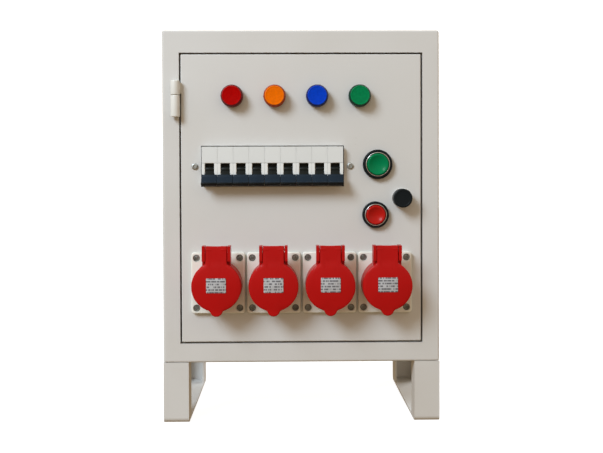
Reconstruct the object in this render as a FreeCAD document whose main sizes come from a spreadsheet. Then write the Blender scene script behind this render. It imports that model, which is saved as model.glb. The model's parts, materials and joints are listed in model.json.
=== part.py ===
import FreeCAD, Part
# Portable power distribution box: a steel cabinet on two strap feet.  Its hinged door carries
# four lamps, nine breakers, two push buttons, a lock knob and four sockets with sprung lids.
#
# Frame: millimetres, +X right as seen from the front, the front faces -Y, +Z up.  The origin is
# the middle of the bounding box's base: on the floor, midway between the lids' front faces and
# the cabinet's back.
#
# Every size is a cell of the Sizes sheet, every position worked out from them a cell of the
# Places sheet, and each feature is bound to those cells.
import os
import re
import Sketcher
from FreeCAD import Placement, Rotation, Vector

doc = FreeCAD.newDocument("power_distribution_box")

# alias, millimetres (or degrees, or a share where it says so), what it is
SIZES = (
    ("cabinet_width", 320, "outside"),
    ("cabinet_height", 384, "outside, without the feet"),
    ("cabinet_depth", 200, "front frame to back edge"),
    ("cabinet_edge", 2.5, "outer bend radius of the cabinet"),
    ("sheet_metal", 1.5, "thickness of cabinet, door and covers"),
    ("border_side", 19.5, "frame beside the door opening"),
    ("border_top", 26, "frame above the door opening"),
    ("border_bottom", 22, "frame below the door opening"),
    ("return_depth", 15, "how far the opening's edge is turned back"),
    ("stop_lip", 6, "inward lip that the door closes against"),
    ("rear_recess", 4, "rear cover set in from the back edge"),
    ("rear_flange", 14, "flange that the rear cover is screwed to"),
    ("cover_gap", 0.5, "air round the rear cover"),
    ("door_gap", 2, "air round the door"),
    ("door_depth", 11, "depth of the door pan"),
    ("door_edge", 1.2, "outer bend radius of the door"),
    ("gasket_width", 5, "foam strip inside the door pan"),
    ("gasket_gap", 0.3, "air between the foam strip and the stop lip"),
    ("running_fit", 0.05, "radial play of a pin or shaft in its hole"),
    ("working_gap", 0.4, "air beside a moving piece"),
    ("hinge_offset", 3.5, "hinge axis outside the door opening"),
    ("hinge_radius", 5.3, "barrel"),
    ("hinge_drop", 58.7, "barrel top below the cabinet top"),
    ("hinge_door_length", 16.8, "knuckle on the door"),
    ("hinge_frame_length", 24.8, "knuckle on the frame"),
    ("hinge_pin_radius", 2.5, "hinge pin"),
    ("hinge_end", 2.5, "closed end of each knuckle"),
    ("leaf_thickness", 2.5, "leaf welded to the door"),
    ("leaf_width", 3, "leaf on the door's face"),
    ("leaf_inset", 0.5, "leaf inside the door's edge"),
    ("weld_half", 3, "half width of the lower knuckle's weld"),
    ("foot_height", 70, "floor to cabinet"),
    ("foot_width", 29, "strap"),
    ("foot_plate", 2.5, "strap thickness"),
    ("foot_channel", 25, "side cheeks of the legs"),
    ("foot_tab", 22, "turned-in tab under the cabinet"),
    ("foot_bend", 6, "outer bend radius of the strap"),
    ("m6_radius", 3, "M6 bolts and studs"),
    ("m6_clearance", 3.3, "hole for M6"),
    ("m6_across", 5.8, "M6 nut and bolt head, centre to corner"),
    ("m6_nut_height", 5, "M6 nut"),
    ("m6_head_height", 4, "M6 bolt head"),
    ("thread_end", 2, "M6 thread beyond its nut"),
    ("m4_radius", 2, "M4 screws"),
    ("m4_clearance", 2.2, "hole for M4"),
    ("m4_head_radius", 3.7, "M4 pan head"),
    ("m4_head_height", 2.2, "M4 pan head"),
    ("m4_length", 10.8, "M4 shank on the door"),
    ("thread_spare", 1, "tapped hole beyond its screw"),
    ("rear_screw_length", 7, "M4 shank in the rear cover"),
    ("plate_margin", 5, "mounting plate inside the cabinet's outline"),
    ("plate_thickness", 2, "mounting plate"),
    ("standoff_length", 15, "mounting plate ahead of the rear flange"),
    ("standoff_radius", 5, "spacer"),
    ("standoff_inset", 45, "spacers below the cabinet top and above its base"),
    ("rail_height", 35, "top-hat rail"),
    ("rail_web", 27, "outside of the top-hat rail's channel"),
    ("rail_depth", 7.5, "top-hat rail"),
    ("rail_metal", 1, "top-hat rail"),
    ("inner_rail_length", 230, "rail on the mounting plate"),
    ("device_inset", 10, "what the inner rail holds, inside the rail's ends"),
    ("clamp_depth", 8, "depth of a clamp's hole"),
    ("clamp_inset", 6, "contactor's clamps inside its ends"),
    ("tower_inset", 3, "contactor's upper block inside its sides"),
    ("contactor_width", 45, "contactor"),
    ("contactor_height", 75, "contactor"),
    ("contactor_base", 45, "depth of the contactor's lower block"),
    ("contactor_depth", 80, "whole depth of the contactor"),
    ("terminal_width", 78, "terminal block"),
    ("terminal_height", 46, "terminal block"),
    ("terminal_depth", 38, "terminal block"),
    ("terminal_ways", 6, "clamps in the terminal block (a count)"),
    ("earth_bar_length", 120, "earth bar"),
    ("earth_bar_height", 14, "earth bar"),
    ("earth_bar_depth", 8, "earth bar"),
    ("gland_setback", 50, "gland ahead of the back edge"),
    ("gland_bore", 8, "cable hole, radius"),
    ("gland_thread", 12.4, "threaded shank, radius"),
    ("gland_collar", 15.5, "collar under the floor, radius"),
    ("gland_drop", 26, "gland below the cabinet"),
    ("gland_rise", 9, "threaded shank above the floor"),
    ("gland_taper", 1.5, "clamping nut's end inside the thread's radius"),
    ("gland_grip", 1.2, "clamping nut outside the thread's radius"),
    ("gland_collar_height", 6, "collar under the floor"),
    ("gland_nut_lip", 1.5, "lock nut's corners outside the collar"),
    ("gland_nut_height", 5, "lock nut"),
    ("lamp_share", 0.854, "lamps' height on the door (a share)"),
    ("lamp_row_x", -6, "middle of the lamp row"),
    ("lamp_pitch", 48.8, "lamp to lamp"),
    ("lamp_stand", 14, "lens ahead of the door"),
    ("lens_radius", 12.8, "lens at its base"),
    ("lens_face", 10, "lens at its flat front"),
    ("lens_rim", 8, "straight part of the lens, ahead of the door"),
    ("lens_wall", 2.3, "lens"),
    ("lamp_flange", 1.5, "lamp body ahead of the door"),
    ("lamp_flange_inset", 0.3, "lamp body inside the lens's edge"),
    ("lamp_barrel_rear", 21.6, "lamp's threaded barrel behind the door's face"),
    ("lamp_step", 2, "lamp's rear inside its barrel's radius"),
    ("bulb_radius", 5, "lamp's bulb"),
    ("lens_ceiling", 1, "lens's hollow beyond its straight part"),
    ("lamp_rear", 36, "lamp body behind the door's face"),
    ("device_thread", 10.9, "barrel of lamps and buttons, radius"),
    ("device_hole", 11.25, "hole for lamps and buttons, radius"),
    ("device_nut", 14.5, "nut behind the door, centre to corner"),
    ("device_nut_height", 6, "nut behind the door"),
    ("breaker_share", 0.612, "breakers' height on the door (a share)"),
    ("breaker_row_x", -33, "middle of the breaker row"),
    ("breaker_pitch", 18, "one module"),
    ("module_gap", 0.1, "air between housings"),
    ("breaker_nose", 44.6, "height of the nose"),
    ("breaker_height", 84, "height behind the door"),
    ("breaker_stand", 8, "nose ahead of the door"),
    ("breaker_shoulder", 6, "shoulder behind the door's face"),
    ("breaker_reach", 44, "back of the housing behind the door's face"),
    ("well_depth", 8, "breaker's screw well"),
    ("well_radius", 3, "breaker's screw well"),
    ("window_gap", 1.4, "air round the breaker noses"),
    ("slot_width", 10.4, "toggle slot"),
    ("slot_height", 13.6, "toggle slot"),
    ("slot_depth", 8.3, "toggle slot"),
    ("slot_drop", 3.6, "toggle pivot below the middle of the nose"),
    ("toggle_setback", 4, "pivot behind the front of the nose"),
    ("toggle_swing", 100, "degrees from off to on"),
    ("toggle_barrel", 3.2, "toggle hub, radius"),
    ("toggle_neck", 1.2, "half thickness of the neck"),
    ("toggle_inner", 9.3, "where the paddle starts, from the pivot"),
    ("toggle_outer", 23.2, "paddle tip, from the pivot"),
    ("toggle_half", 2.2, "half thickness of the paddle"),
    ("toggle_root", 1, "neck let into the paddle"),
    ("toggle_side", 0.3, "paddle inside each side of its housing"),
    ("toggle_pin_radius", 1, "toggle pin"),
    ("post_offset", 8.6, "middle of a rail post outside the breaker row"),
    ("post_width", 12, "rail post"),
    ("post_height", 16, "rail post"),
    ("start_share", 0.617, "start button's height on the door (a share)"),
    ("start_x", 88, "start button"),
    ("start_bezel", 17, "start button's bezel, radius"),
    ("start_cap", 12.9, "start button's cap, radius"),
    ("stop_share", 0.442, "stop button's height on the door (a share)"),
    ("stop_x", 85.5, "stop button"),
    ("stop_bezel", 15.3, "stop button's bezel, radius"),
    ("stop_cap", 11.1, "stop button's cap, radius"),
    ("bezel_stand", 7, "bezel ahead of the door"),
    ("bezel_chamfer", 1.2, "bezel's front edge"),
    ("ring_stand", 7.6, "bright ring ahead of the door"),
    ("ring_width", 1.3, "bright ring"),
    ("ring_seat", 4, "bright ring's seat ahead of the door"),
    ("cap_play", 1.2, "dark gap round a cap"),
    ("cap_stand", 9.5, "cap ahead of the door"),
    ("cap_thickness", 4, "cap"),
    ("cap_edge", 1.5, "cap's front edge, across"),
    ("cap_edge_depth", 1, "cap's front edge, along"),
    ("button_travel", 4, "push"),
    ("stem_radius", 4, "button stem"),
    ("barrel_rear", 16, "button barrel behind the door's face"),
    ("block_width", 28, "contact block"),
    ("block_height", 40, "contact block"),
    ("block_depth", 30, "contact block"),
    ("lock_share", 0.5, "lock's height on the door (a share)"),
    ("lock_inset", 23, "lock axis inside the door's edge"),
    ("lock_collar", 12, "bright collar, radius"),
    ("collar_stand", 4, "bright collar ahead of the door"),
    ("lock_barrel", 9.5, "lock barrel, radius"),
    ("lock_barrel_rear", 14, "lock barrel behind the door's face"),
    ("lock_nut_across", 13.2, "lock nut, centre to corner"),
    ("lock_nut_height", 5, "lock nut"),
    ("knob_radius", 11.2, "knob"),
    ("knob_stand", 18, "knob ahead of the door"),
    ("knob_edge", 1.5, "knob's front edge"),
    ("spindle_radius", 3, "lock spindle"),
    ("spindle_end", 3, "spindle behind its cam"),
    ("cam_gap", 0.6, "air between cam and stop lip"),
    ("cam_thickness", 2, "cam"),
    ("cam_width", 12, "cam"),
    ("cam_bite", 4, "cam behind the stop lip when locked"),
    ("socket_share", 0.208, "sockets' height on the door (a share)"),
    ("socket_gap", 2.5, "air between flanges, or between lids where they are wider"),
    ("flange_width", 61.5, "socket flange"),
    ("flange_height", 70, "socket flange"),
    ("flange_thickness", 6, "socket flange"),
    ("flange_corner", 3, "corner radius of a flange"),
    ("flange_edge", 1.2, "rounding of a flange's front edge"),
    ("flange_screw_x", 49.5, "screw to screw across a flange"),
    ("flange_screw_z", 57.5, "screw to screw up a flange"),
    ("counterbore_radius", 4.1, "round a sunk screw head"),
    ("counterbore_depth", 3.2, "below the flange's face"),
    ("collar_drop", 1, "collar below the middle of its flange"),
    ("collar_outer", 28, "red collar, radius"),
    ("collar_inner", 24.6, "red collar's bore, radius"),
    ("insert_radius", 24.4, "socket insert through the flange"),
    ("insert_hole", 25.2, "hole in the door for an insert"),
    ("insert_floor", 5, "bottom of the socket's ring groove, ahead of the door"),
    ("insert_stop", 27.5, "insert's shoulder behind the door, radius"),
    ("insert_stop_depth", 3, "insert's shoulder"),
    ("insert_rear_radius", 22, "insert behind its shoulder"),
    ("insert_rear", 34, "insert behind the door's face"),
    ("post_radius", 18, "contact carrier"),
    ("post_stand", 25, "contact carrier ahead of the door"),
    ("contact_circle", 11, "contacts from the socket's axis"),
    ("contact_radius", 3.2, "contact sleeve"),
    ("contact_bore", 2.5, "contact sleeve's bore"),
    ("lid_stand", 35, "lid's front face ahead of the door"),
    ("lid_depth", 7, "lid"),
    ("lid_radius", 28, "lid"),
    ("lid_wall", 2.3, "lid"),
    ("lobe_radius", 7.2, "finger lobe"),
    ("lobe_inset", 1.7, "finger lobe's centre inside the lid's edge"),
    ("strap_half", 12.1, "half width of the hinge strap"),
    ("strap_thickness", 3, "hinge strap"),
    ("lid_axis_gap", 13.3, "lid hinge above the lid's edge"),
    ("lid_knuckle", 4.2, "lid hinge knuckle, radius"),
    ("ear_thickness", 3.5, "ears beside the strap"),
    ("ear_reach", 10, "ears behind the lid hinge"),
    ("ear_lead", 0.2, "ears ahead of the lid's knuckles"),
    ("ear_gap", 0.6, "ears above the lid's edge"),
    ("ear_root_drop", 8, "ears' roots below the top of the collar"),
    ("bar_gap", 1.8, "bar behind the lid's knuckles"),
    ("bar_drop", 4, "bar below the top of the lid and below its axis"),
    ("strap_root", 6, "strap let into the lid"),
    ("spring_half", 4.8, "half length of a lid spring"),
    ("spring_radius", 3, "lid spring's outer radius"),
    ("lid_pin_radius", 1.5, "lid pin"),
)

SOCKETS = 4
BREAKERS = 9
EARTH_HOLES = 8
LAMP_COLOURS = ("red", "amber", "blue", "green")
SIDES = (-1, 1)

# alias, formula, what it is
PLACES = (
    ("front_y", "(lid_stand - cabinet_depth) / 2", "front of the frame and of the shut door"),
    ("back_y", "front_y + cabinet_depth", "back edge of the cabinet"),
    ("skin_y", "front_y + sheet_metal", "back of the front sheet"),
    ("half_width", "cabinet_width / 2", "cabinet's side"),
    ("cabinet_top", "foot_height + cabinet_height", "top of the cabinet"),
    ("floor_z", "foot_height + sheet_metal", "inside floor"),
    ("inside_x", "half_width - sheet_metal", "inside wall"),
    ("inside_top", "cabinet_top - sheet_metal", "inside of the roof"),
    ("opening_x", "half_width - border_side", "half width of the door opening"),
    ("opening_low", "foot_height + border_bottom", "bottom of the door opening"),
    ("opening_high", "cabinet_top - border_top", "top of the door opening"),
    ("stop_y", "front_y + return_depth", "back of the stop lip"),
    ("flange_y", "back_y - rear_recess", "back of the rear flange"),
    ("door_x", "opening_x - door_gap", "half width of the door"),
    ("door_low", "opening_low + door_gap", "bottom of the door"),
    ("door_high", "opening_high - door_gap", "top of the door"),
    ("door_height", "door_high - door_low", "height of the door"),
    ("hinge_x", "-opening_x - hinge_offset", "hinge axis"),
    ("hinge_y", "front_y - hinge_radius - working_gap", "hinge axis"),
    ("hinge_high", "cabinet_top - hinge_drop", "top of the hinge barrel"),
    ("hinge_split", "hinge_high - hinge_door_length", "between the knuckles"),
    ("hinge_low", "hinge_split - hinge_frame_length", "bottom of the hinge barrel"),
    ("foot_bolt_x", "half_width - foot_width / 2", "foot bolts"),
    ("foot_bolt_inset", "(foot_tab + foot_plate) / 2", "foot bolts inside the cabinet's depth"),
    ("rear_screw_x", "inside_x - rear_flange / 2", "screws and spacers on the rear flange"),
    ("plate_y", "flange_y - sheet_metal - standoff_length", "back of the mounting plate"),
    ("plate_face", "plate_y - plate_thickness", "front of the mounting plate"),
    ("inner_rail_z", "foot_height + cabinet_height * 0.55", "rail on the mounting plate"),
    ("device_y", "plate_face - rail_depth", "back of what the inner rail holds"),
    ("earth_bar_z", "foot_height + cabinet_height * 0.2", "earth bar"),
    ("gland_y", "back_y - gland_setback", "gland axis"),
    ("lamp_z", "door_low + door_height * lamp_share", "lamps"),
    ("breaker_z", "door_low + door_height * breaker_share", "middle of the breaker noses"),
    ("breaker_width", "breaker_pitch - module_gap", "one housing"),
    ("half_row", f"{BREAKERS} * breaker_pitch / 2", "half width of the breaker row"),
    ("bracket_offset", "half_row + post_offset", "rail posts either side of the row's middle"),
    ("toggle_width", "breaker_width - 2 * toggle_side", "paddle"),
    ("breaker_y", "front_y + breaker_reach", "back of the breakers, front of their rail"),
    ("nose_y", "front_y - breaker_stand", "front of the breaker noses"),
    ("toggle_y", "nose_y + toggle_setback", "toggle pivots"),
    ("toggle_z", "breaker_z - slot_drop", "toggle pivots"),
    ("start_z", "door_low + door_height * start_share", "start button"),
    ("stop_z", "door_low + door_height * stop_share", "stop button"),
    ("well_floor", "cap_stand - cap_thickness - button_travel - working_gap",
     "bottom of a button's well, ahead of the door"),
    ("lock_x", "door_x - lock_inset", "lock"),
    ("lock_z", "door_low + door_height * lock_share", "lock"),
    ("cam_y", "stop_y + cam_gap", "front of the cam"),
    ("cam_reach", "lock_inset + door_gap - stop_lip + cam_bite", "cam tip from the lock axis"),
    ("flange_z", "door_low + door_height * socket_share", "middle of the socket flanges"),
    ("socket_z", "flange_z - collar_drop", "socket axes"),
    ("socket_pitch", "max(flange_width; 2 * lid_radius) + socket_gap", "socket to socket"),
    ("lobe_drop", "lid_radius - lobe_inset", "finger lobe's centre below the lid's"),
    ("lid_back", "front_y - lid_stand + lid_depth", "rim of the lids and their hinge axis"),
    ("lid_axis_z", "socket_z + lid_radius + lid_axis_gap", "lid hinge axis"),
    ("collar_y", "lid_back + working_gap", "front of the red collars"),
    ("strap_top", "lid_axis_z + lid_knuckle", "top of straps and ears"),
    ("lid_top", "socket_z + lid_radius", "top of a lid's disc"),
    ("ear_inner", "strap_half + working_gap", "inner face of the ears"),
    ("ear_outer", "ear_inner + ear_thickness", "outer face of the ears"),
)

def fill_sheet(name, rows, mark):
    """A sheet with one row for each size: alias, content and meaning."""
    sheet = doc.addObject("Spreadsheet::Sheet", name)
    for row, (alias, content, meaning) in enumerate(rows, 1):
        sheet.set(f"A{row}", alias)
        sheet.set(f"B{row}", mark + str(content))
        sheet.set(f"C{row}", meaning)
        sheet.setAlias(f"B{row}", alias)
    return sheet


def in_sheets(text):
    """The same formula with each alias led by the name of its sheet."""
    return re.sub(r"[a-z]\w*", lambda word: OWNER.get(word[0], "") + word[0], text)


OWNER = {alias: "Sizes." for alias, _, _ in SIZES} | {alias: "Places." for alias, _, _ in PLACES}
sizes = fill_sheet("Sizes", SIZES, "")
fill_sheet("Places", [(alias, in_sheets(formula), meaning) for alias, formula, meaning in PLACES], "=")
doc.recompute()

nodes = []


def bind(piece, target, formula):
    piece.setExpression(target, in_sheets(str(formula)))


def number(formula):
    return float(sizes.evalExpression(in_sheets(str(formula))))


def keep(piece):
    """Marks a finished sub-part, whose label is the name that it was made with."""
    nodes.append(piece)
    return piece


def place(piece, x, y, z):
    for letter, formula in zip("xyz", (x, y, z)):
        bind(piece, f"Placement.Base.{letter}", formula)


# ---- primitives -----------------------------------------------------------------------------

def box(name, x, y, z):
    """Block whose faces on each axis are a pair of formulas."""
    block = doc.addObject("Part::Box", name)
    for span, (low, high) in zip(("Length", "Width", "Height"), (x, y, z)):
        bind(block, span, f"({high}) - ({low})")
    place(block, x[0], y[0], z[0])
    return block


ALONG = {"x": Rotation(Vector(0, 1, 0), 90), "y": Rotation(Vector(1, 0, 0), -90), "z": Rotation()}


def along(bar, axis, x, y, z):
    """Stands a bar on the first of the two formulas given for its own axis."""
    spans = {"x": x, "y": y, "z": z}
    low, high = spans[axis]
    spans[axis] = low
    bind(bar, "Height", f"({high}) - ({low})")
    bar.Placement = Placement(Vector(), ALONG[axis])
    place(bar, *spans.values())
    return bar


def rod(name, axis, x, y, z, radius):
    bar = doc.addObject("Part::Cylinder", name)
    bind(bar, "Radius", radius)
    return along(bar, axis, x, y, z)


def hexagon(name, axis, x, y, z, across):
    """Six-sided bar; across is the distance from its axis to a corner."""
    bar = doc.addObject("Part::Prism", name)
    bar.Polygon = 6
    bind(bar, "Circumradius", across)
    return along(bar, axis, x, y, z)


def join(name, *pieces):
    fused = doc.addObject("Part::MultiFuse", name)
    fused.Shapes = list(pieces)
    return fused


def cut(name, base, *tools):
    carved = doc.addObject("Part::Cut", name)
    carved.Base = base
    carved.Tool = tools[0] if len(tools) == 1 else join(name + "_tools", *tools)
    return carved


def group(name, solids):
    """One node of like pieces that stay separate solids."""
    bundle = doc.addObject("Part::Compound", name)
    bundle.Links = list(solids)
    return bundle


# ---- sketches and bodies --------------------------------------------------------------------

def body(name):
    return doc.addObject("PartDesign::Body", name)


def sketch(owner, name, plane, offset="0"):
    """Sketch parallel to one of the body's planes, moved along the plane's normal."""
    drawing = owner.newObject("Sketcher::SketchObject", name)
    planes = {feature.Role: feature for feature in owner.Origin.OriginFeatures}
    drawing.AttachmentSupport = [(planes[plane], "")]
    drawing.MapMode = "FlatFace"
    bind(drawing, "AttachmentOffset.Base.z", offset)
    return drawing


def hold(drawing, kind, *rest):
    """Adds a dimension and binds it to its formula, which comes last."""
    *where, formula = rest
    index = drawing.addConstraint(Sketcher.Constraint(kind, *where, number(formula)))
    bind(drawing, f"Constraints[{index}]", formula)


def polygon(drawing, corners):
    """Closed outline of straight edges; both coordinates of each corner are held."""
    first = drawing.GeometryCount
    spots = [Vector(number(u), number(v), 0) for u, v in corners]
    for spot, following in zip(spots, spots[1:] + spots[:1]):
        drawing.addGeometry(Part.LineSegment(spot, following), False)
    for index, (u, v) in enumerate(corners):
        edge = first + index
        after = first + (index + 1) % len(corners)
        drawing.addConstraint(Sketcher.Constraint("Coincident", edge, 2, after, 1))
        hold(drawing, "DistanceX", -1, 1, edge, 1, u)
        hold(drawing, "DistanceY", -1, 1, edge, 1, v)


def rectangle(drawing, u, v):
    polygon(drawing, [(u[0], v[0]), (u[1], v[0]), (u[1], v[1]), (u[0], v[1])])


def circle(drawing, u, v, radius):
    centre = Vector(number(u), number(v), 0)
    index = drawing.addGeometry(Part.Circle(centre, Vector(0, 0, 1), number(radius)), False)
    hold(drawing, "DistanceX", -1, 1, index, 3, u)
    hold(drawing, "DistanceY", -1, 1, index, 3, v)
    hold(drawing, "Radius", index, radius)


def extrude(owner, kind, name, drawing, length):
    feature = owner.newObject("PartDesign::" + kind, name)
    feature.Profile = drawing
    bind(feature, "Length", length)
    return feature


def front_pad(owner, name, y, *rectangles):
    """Plate seen from the front, between two depths; a second rectangle is its opening."""
    drawing = sketch(owner, name + "_sketch", "XZ_Plane", f"-({y[1]})")
    for x, z in rectangles:
        rectangle(drawing, x, z)
    return extrude(owner, "Pad", name, drawing, f"({y[1]}) - ({y[0]})")


def front_pocket(owner, name, y, rectangles=(), circles=()):
    """Cut seen from the front, between two depths."""
    drawing = sketch(owner, name + "_sketch", "XZ_Plane", f"-({y[0]})")
    for x, z in rectangles:
        rectangle(drawing, x, z)
    for x, z, radius in circles:
        circle(drawing, x, z, radius)
    return extrude(owner, "Pocket", name, drawing, f"({y[1]}) - ({y[0]})")


def floor_pocket(owner, name, z, circles):
    """Round holes cut downward between two heights."""
    drawing = sketch(owner, name + "_sketch", "XY_Plane", z[1])
    for x, y, radius in circles:
        circle(drawing, x, y, radius)
    return extrude(owner, "Pocket", name, drawing, f"({z[1]}) - ({z[0]})")


def round_edges(owner, name, radius, wanted):
    """Fillet on the edges of the body's last feature whose middle and direction are wanted."""
    doc.recompute()
    tip = owner.Tip
    names = []
    for index, edge in enumerate(tip.Shape.Edges, 1):
        ends = edge.lastVertex().Point - edge.firstVertex().Point
        if ends.Length and wanted(edge.CenterOfMass, ends.normalize()):
            names.append(f"Edge{index}")
    fillet = owner.newObject("PartDesign::Fillet", name)
    fillet.Base = (tip, names)
    bind(fillet, "Radius", radius)
    return fillet


def turned(name, profile, x, y, z, plane="XY_Plane"):
    """Turned piece: (radius, distance along the axis) corners, swept round its own axis, which is
    Y for the XY plane and Z for the XZ plane."""
    owner = body(name)
    drawing = sketch(owner, name + "_profile", plane)
    polygon(drawing, profile)
    sweep = owner.newObject("PartDesign::Revolution", name + "_sweep")
    sweep.Profile = drawing
    sweep.ReferenceAxis = (drawing, ["V_Axis"])
    sweep.Angle = 360
    place(owner, x, y, z)
    return owner


def near(first, second):
    return abs(first - second) < 1e-6


# ---- cabinet --------------------------------------------------------------------------------

REAR_SCREWS = [(x, z) for x in ("-rear_screw_x", "0", "rear_screw_x")
               for z in ("floor_z + rear_flange / 2", "foot_height + cabinet_height / 2",
                         "inside_top - rear_flange / 2")
               if (x, z) != ("0", "foot_height + cabinet_height / 2")]
STANDOFFS = [(f"{side} * rear_screw_x", z) for side in SIDES
             for z in ("foot_height + standoff_inset", "cabinet_top - standoff_inset")]
FOOT_BOLTS = [(f"{side} * foot_bolt_x", y) for side in SIDES
              for y in ("front_y + foot_bolt_inset", "back_y - foot_bolt_inset")]


def ring_pad(owner, name, y, x, z, inset):
    """Rectangular ring between two depths; positive insets lie inside the given rectangle."""
    front_pad(owner, name, y, ((f"-({x})", x), z),
              ((f"-({x}) + ({inset})", f"({x}) - ({inset})"),
               (f"({z[0]}) + ({inset})", f"({z[1]}) - ({inset})")))


def make_cabinet_shell():
    shell = keep(body("cabinet_shell"))
    front_pad(shell, "shell_block", ("front_y", "back_y"),
              (("-half_width", "half_width"), ("foot_height", "cabinet_top")))
    front = number("front_y")
    round_edges(shell, "shell_bends", "cabinet_edge",
                lambda middle, way: near(abs(way.y), 1) or near(middle.y, front))
    front_pocket(shell, "shell_inside", ("skin_y", "back_y"),
                 [(("-inside_x", "inside_x"), ("floor_z", "inside_top"))])
    front_pocket(shell, "door_opening", ("front_y", "skin_y"),
                 [(("-opening_x", "opening_x"), ("opening_low", "opening_high"))])
    ring_pad(shell, "opening_return", ("front_y + sheet_metal / 2", "stop_y"),
             "opening_x + sheet_metal",
             ("opening_low - sheet_metal", "opening_high + sheet_metal"), "sheet_metal")
    ring_pad(shell, "door_stop", ("stop_y - sheet_metal", "stop_y"),
             "opening_x + sheet_metal",
             ("opening_low - sheet_metal", "opening_high + sheet_metal"), "sheet_metal + stop_lip")
    ring_pad(shell, "cover_flange", ("flange_y - sheet_metal", "flange_y"),
             "inside_x + sheet_metal / 2",
             ("floor_z - sheet_metal / 2", "inside_top + sheet_metal / 2"),
             "rear_flange + sheet_metal / 2")
    front_pocket(shell, "cover_holes", ("flange_y - sheet_metal", "flange_y"),
                 circles=[(x, z, "m4_clearance") for x, z in REAR_SCREWS])
    floor_pocket(shell, "floor_holes", ("foot_height", "floor_z"),
                 [(x, y, "m6_clearance") for x, y in FOOT_BOLTS]
                 + [("0", "gland_y", "gland_thread")])


def make_rear_cover():
    cover = box("rear_cover_plate", ("-inside_x + cover_gap", "inside_x - cover_gap"),
                ("flange_y", "flange_y + sheet_metal"),
                ("floor_z + cover_gap", "inside_top - cover_gap"))
    holes = [rod(f"rear_cover_hole_{index}", "y", x, ("flange_y", "flange_y + sheet_metal"), z,
                 "m4_clearance") for index, (x, z) in enumerate(REAR_SCREWS, 1)]
    keep(cut("rear_cover", cover, *holes))
    seat = "flange_y + sheet_metal"
    screws = []
    for index, (x, z) in enumerate(REAR_SCREWS, 1):
        head = rod(f"rear_screw_head_{index}", "y", x, (seat, seat + " + m4_head_height"), z,
                   "m4_head_radius")
        shank = rod(f"rear_screw_shank_{index}", "y", x, (seat + " - rear_screw_length", seat), z,
                    "m4_radius")
        screws.append(join(f"rear_screw_{index}", head, shank))
    keep(group("rear_screws", screws))


def make_foot(name, side):
    """Strap bent into a flat-bottomed loop that is open at the top, with cheeks that make both
    legs channels."""
    foot = keep(body(name))
    outer = "half_width" if side > 0 else "-half_width + foot_width"
    left = f"({outer}) - foot_width"
    strap = sketch(foot, name + "_strap_sketch", "YZ_Plane", left)
    front = [("front_y + foot_tab", "foot_height"), ("front_y", "foot_height"), ("front_y", "0")]
    back = [("back_y", "0"), ("back_y", "foot_height"), ("back_y - foot_tab", "foot_height"),
            ("back_y - foot_tab", "foot_height - foot_plate"),
            ("back_y - foot_plate", "foot_height - foot_plate"),
            ("back_y - foot_plate", "foot_plate")]
    inner = [("front_y + foot_plate", "foot_plate"),
             ("front_y + foot_plate", "foot_height - foot_plate"),
             ("front_y + foot_tab", "foot_height - foot_plate")]
    polygon(strap, front + back + inner)
    extrude(foot, "Pad", name + "_strap", strap, "foot_width")
    legs = {"front": ("front_y", "front_y + foot_channel"), "rear": ("back_y - foot_channel", "back_y")}
    for leg, depth in legs.items():
        for cheek, start in (("left", left), ("right", f"({outer}) - foot_plate")):
            drawing = sketch(foot, f"{name}_{leg}_{cheek}_cheek_sketch", "YZ_Plane", start)
            rectangle(drawing, depth, ("0", "foot_height"))
            extrude(foot, "Pad", f"{name}_{leg}_{cheek}_cheek", drawing, "foot_plate")
    ends = [number("front_y"), number("back_y")]
    round_edges(foot, name + "_bends", "foot_bend",
                lambda middle, way: near(abs(way.x), 1) and near(middle.z, 0)
                and any(near(middle.y, end) for end in ends))
    floor_pocket(foot, name + "_holes", ("foot_height - foot_plate", "foot_height"),
                 [(x, y, "m6_clearance") for x, y in FOOT_BOLTS if x.startswith(f"{side} ")])


def make_foot_bolts():
    seat = "foot_height - foot_plate"
    end = "floor_z + m6_nut_height + thread_end"
    bolts = []
    for index, (x, y) in enumerate(FOOT_BOLTS, 1):
        head = hexagon(f"foot_bolt_head_{index}", "z", x, y, (seat + " - m6_head_height", seat),
                       "m6_across")
        shank = rod(f"foot_bolt_shank_{index}", "z", x, y, (seat, end), "m6_radius")
        bolts.append(join(f"foot_bolt_{index}", head, shank))
    keep(group("foot_bolts", bolts))


def nut(name, axis, x, y, z, across, bore):
    return cut(name, hexagon(name + "_blank", axis, x, y, z, across),
               rod(name + "_bore", axis, x, y, z, bore))


def make_m6_nuts():
    """Nuts on the foot bolts, inside the floor, and on the mounting plate's studs."""
    nuts = [nut(f"foot_nut_{index}", "z", x, y, ("floor_z", "floor_z + m6_nut_height"),
                "m6_across", "m6_radius") for index, (x, y) in enumerate(FOOT_BOLTS, 1)]
    nuts += [nut(f"plate_nut_{index}", "y", x, ("plate_face - m6_nut_height", "plate_face"), z,
                 "m6_across", "m6_radius") for index, (x, z) in enumerate(STANDOFFS, 1)]
    keep(group("m6_nuts", nuts))


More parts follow.
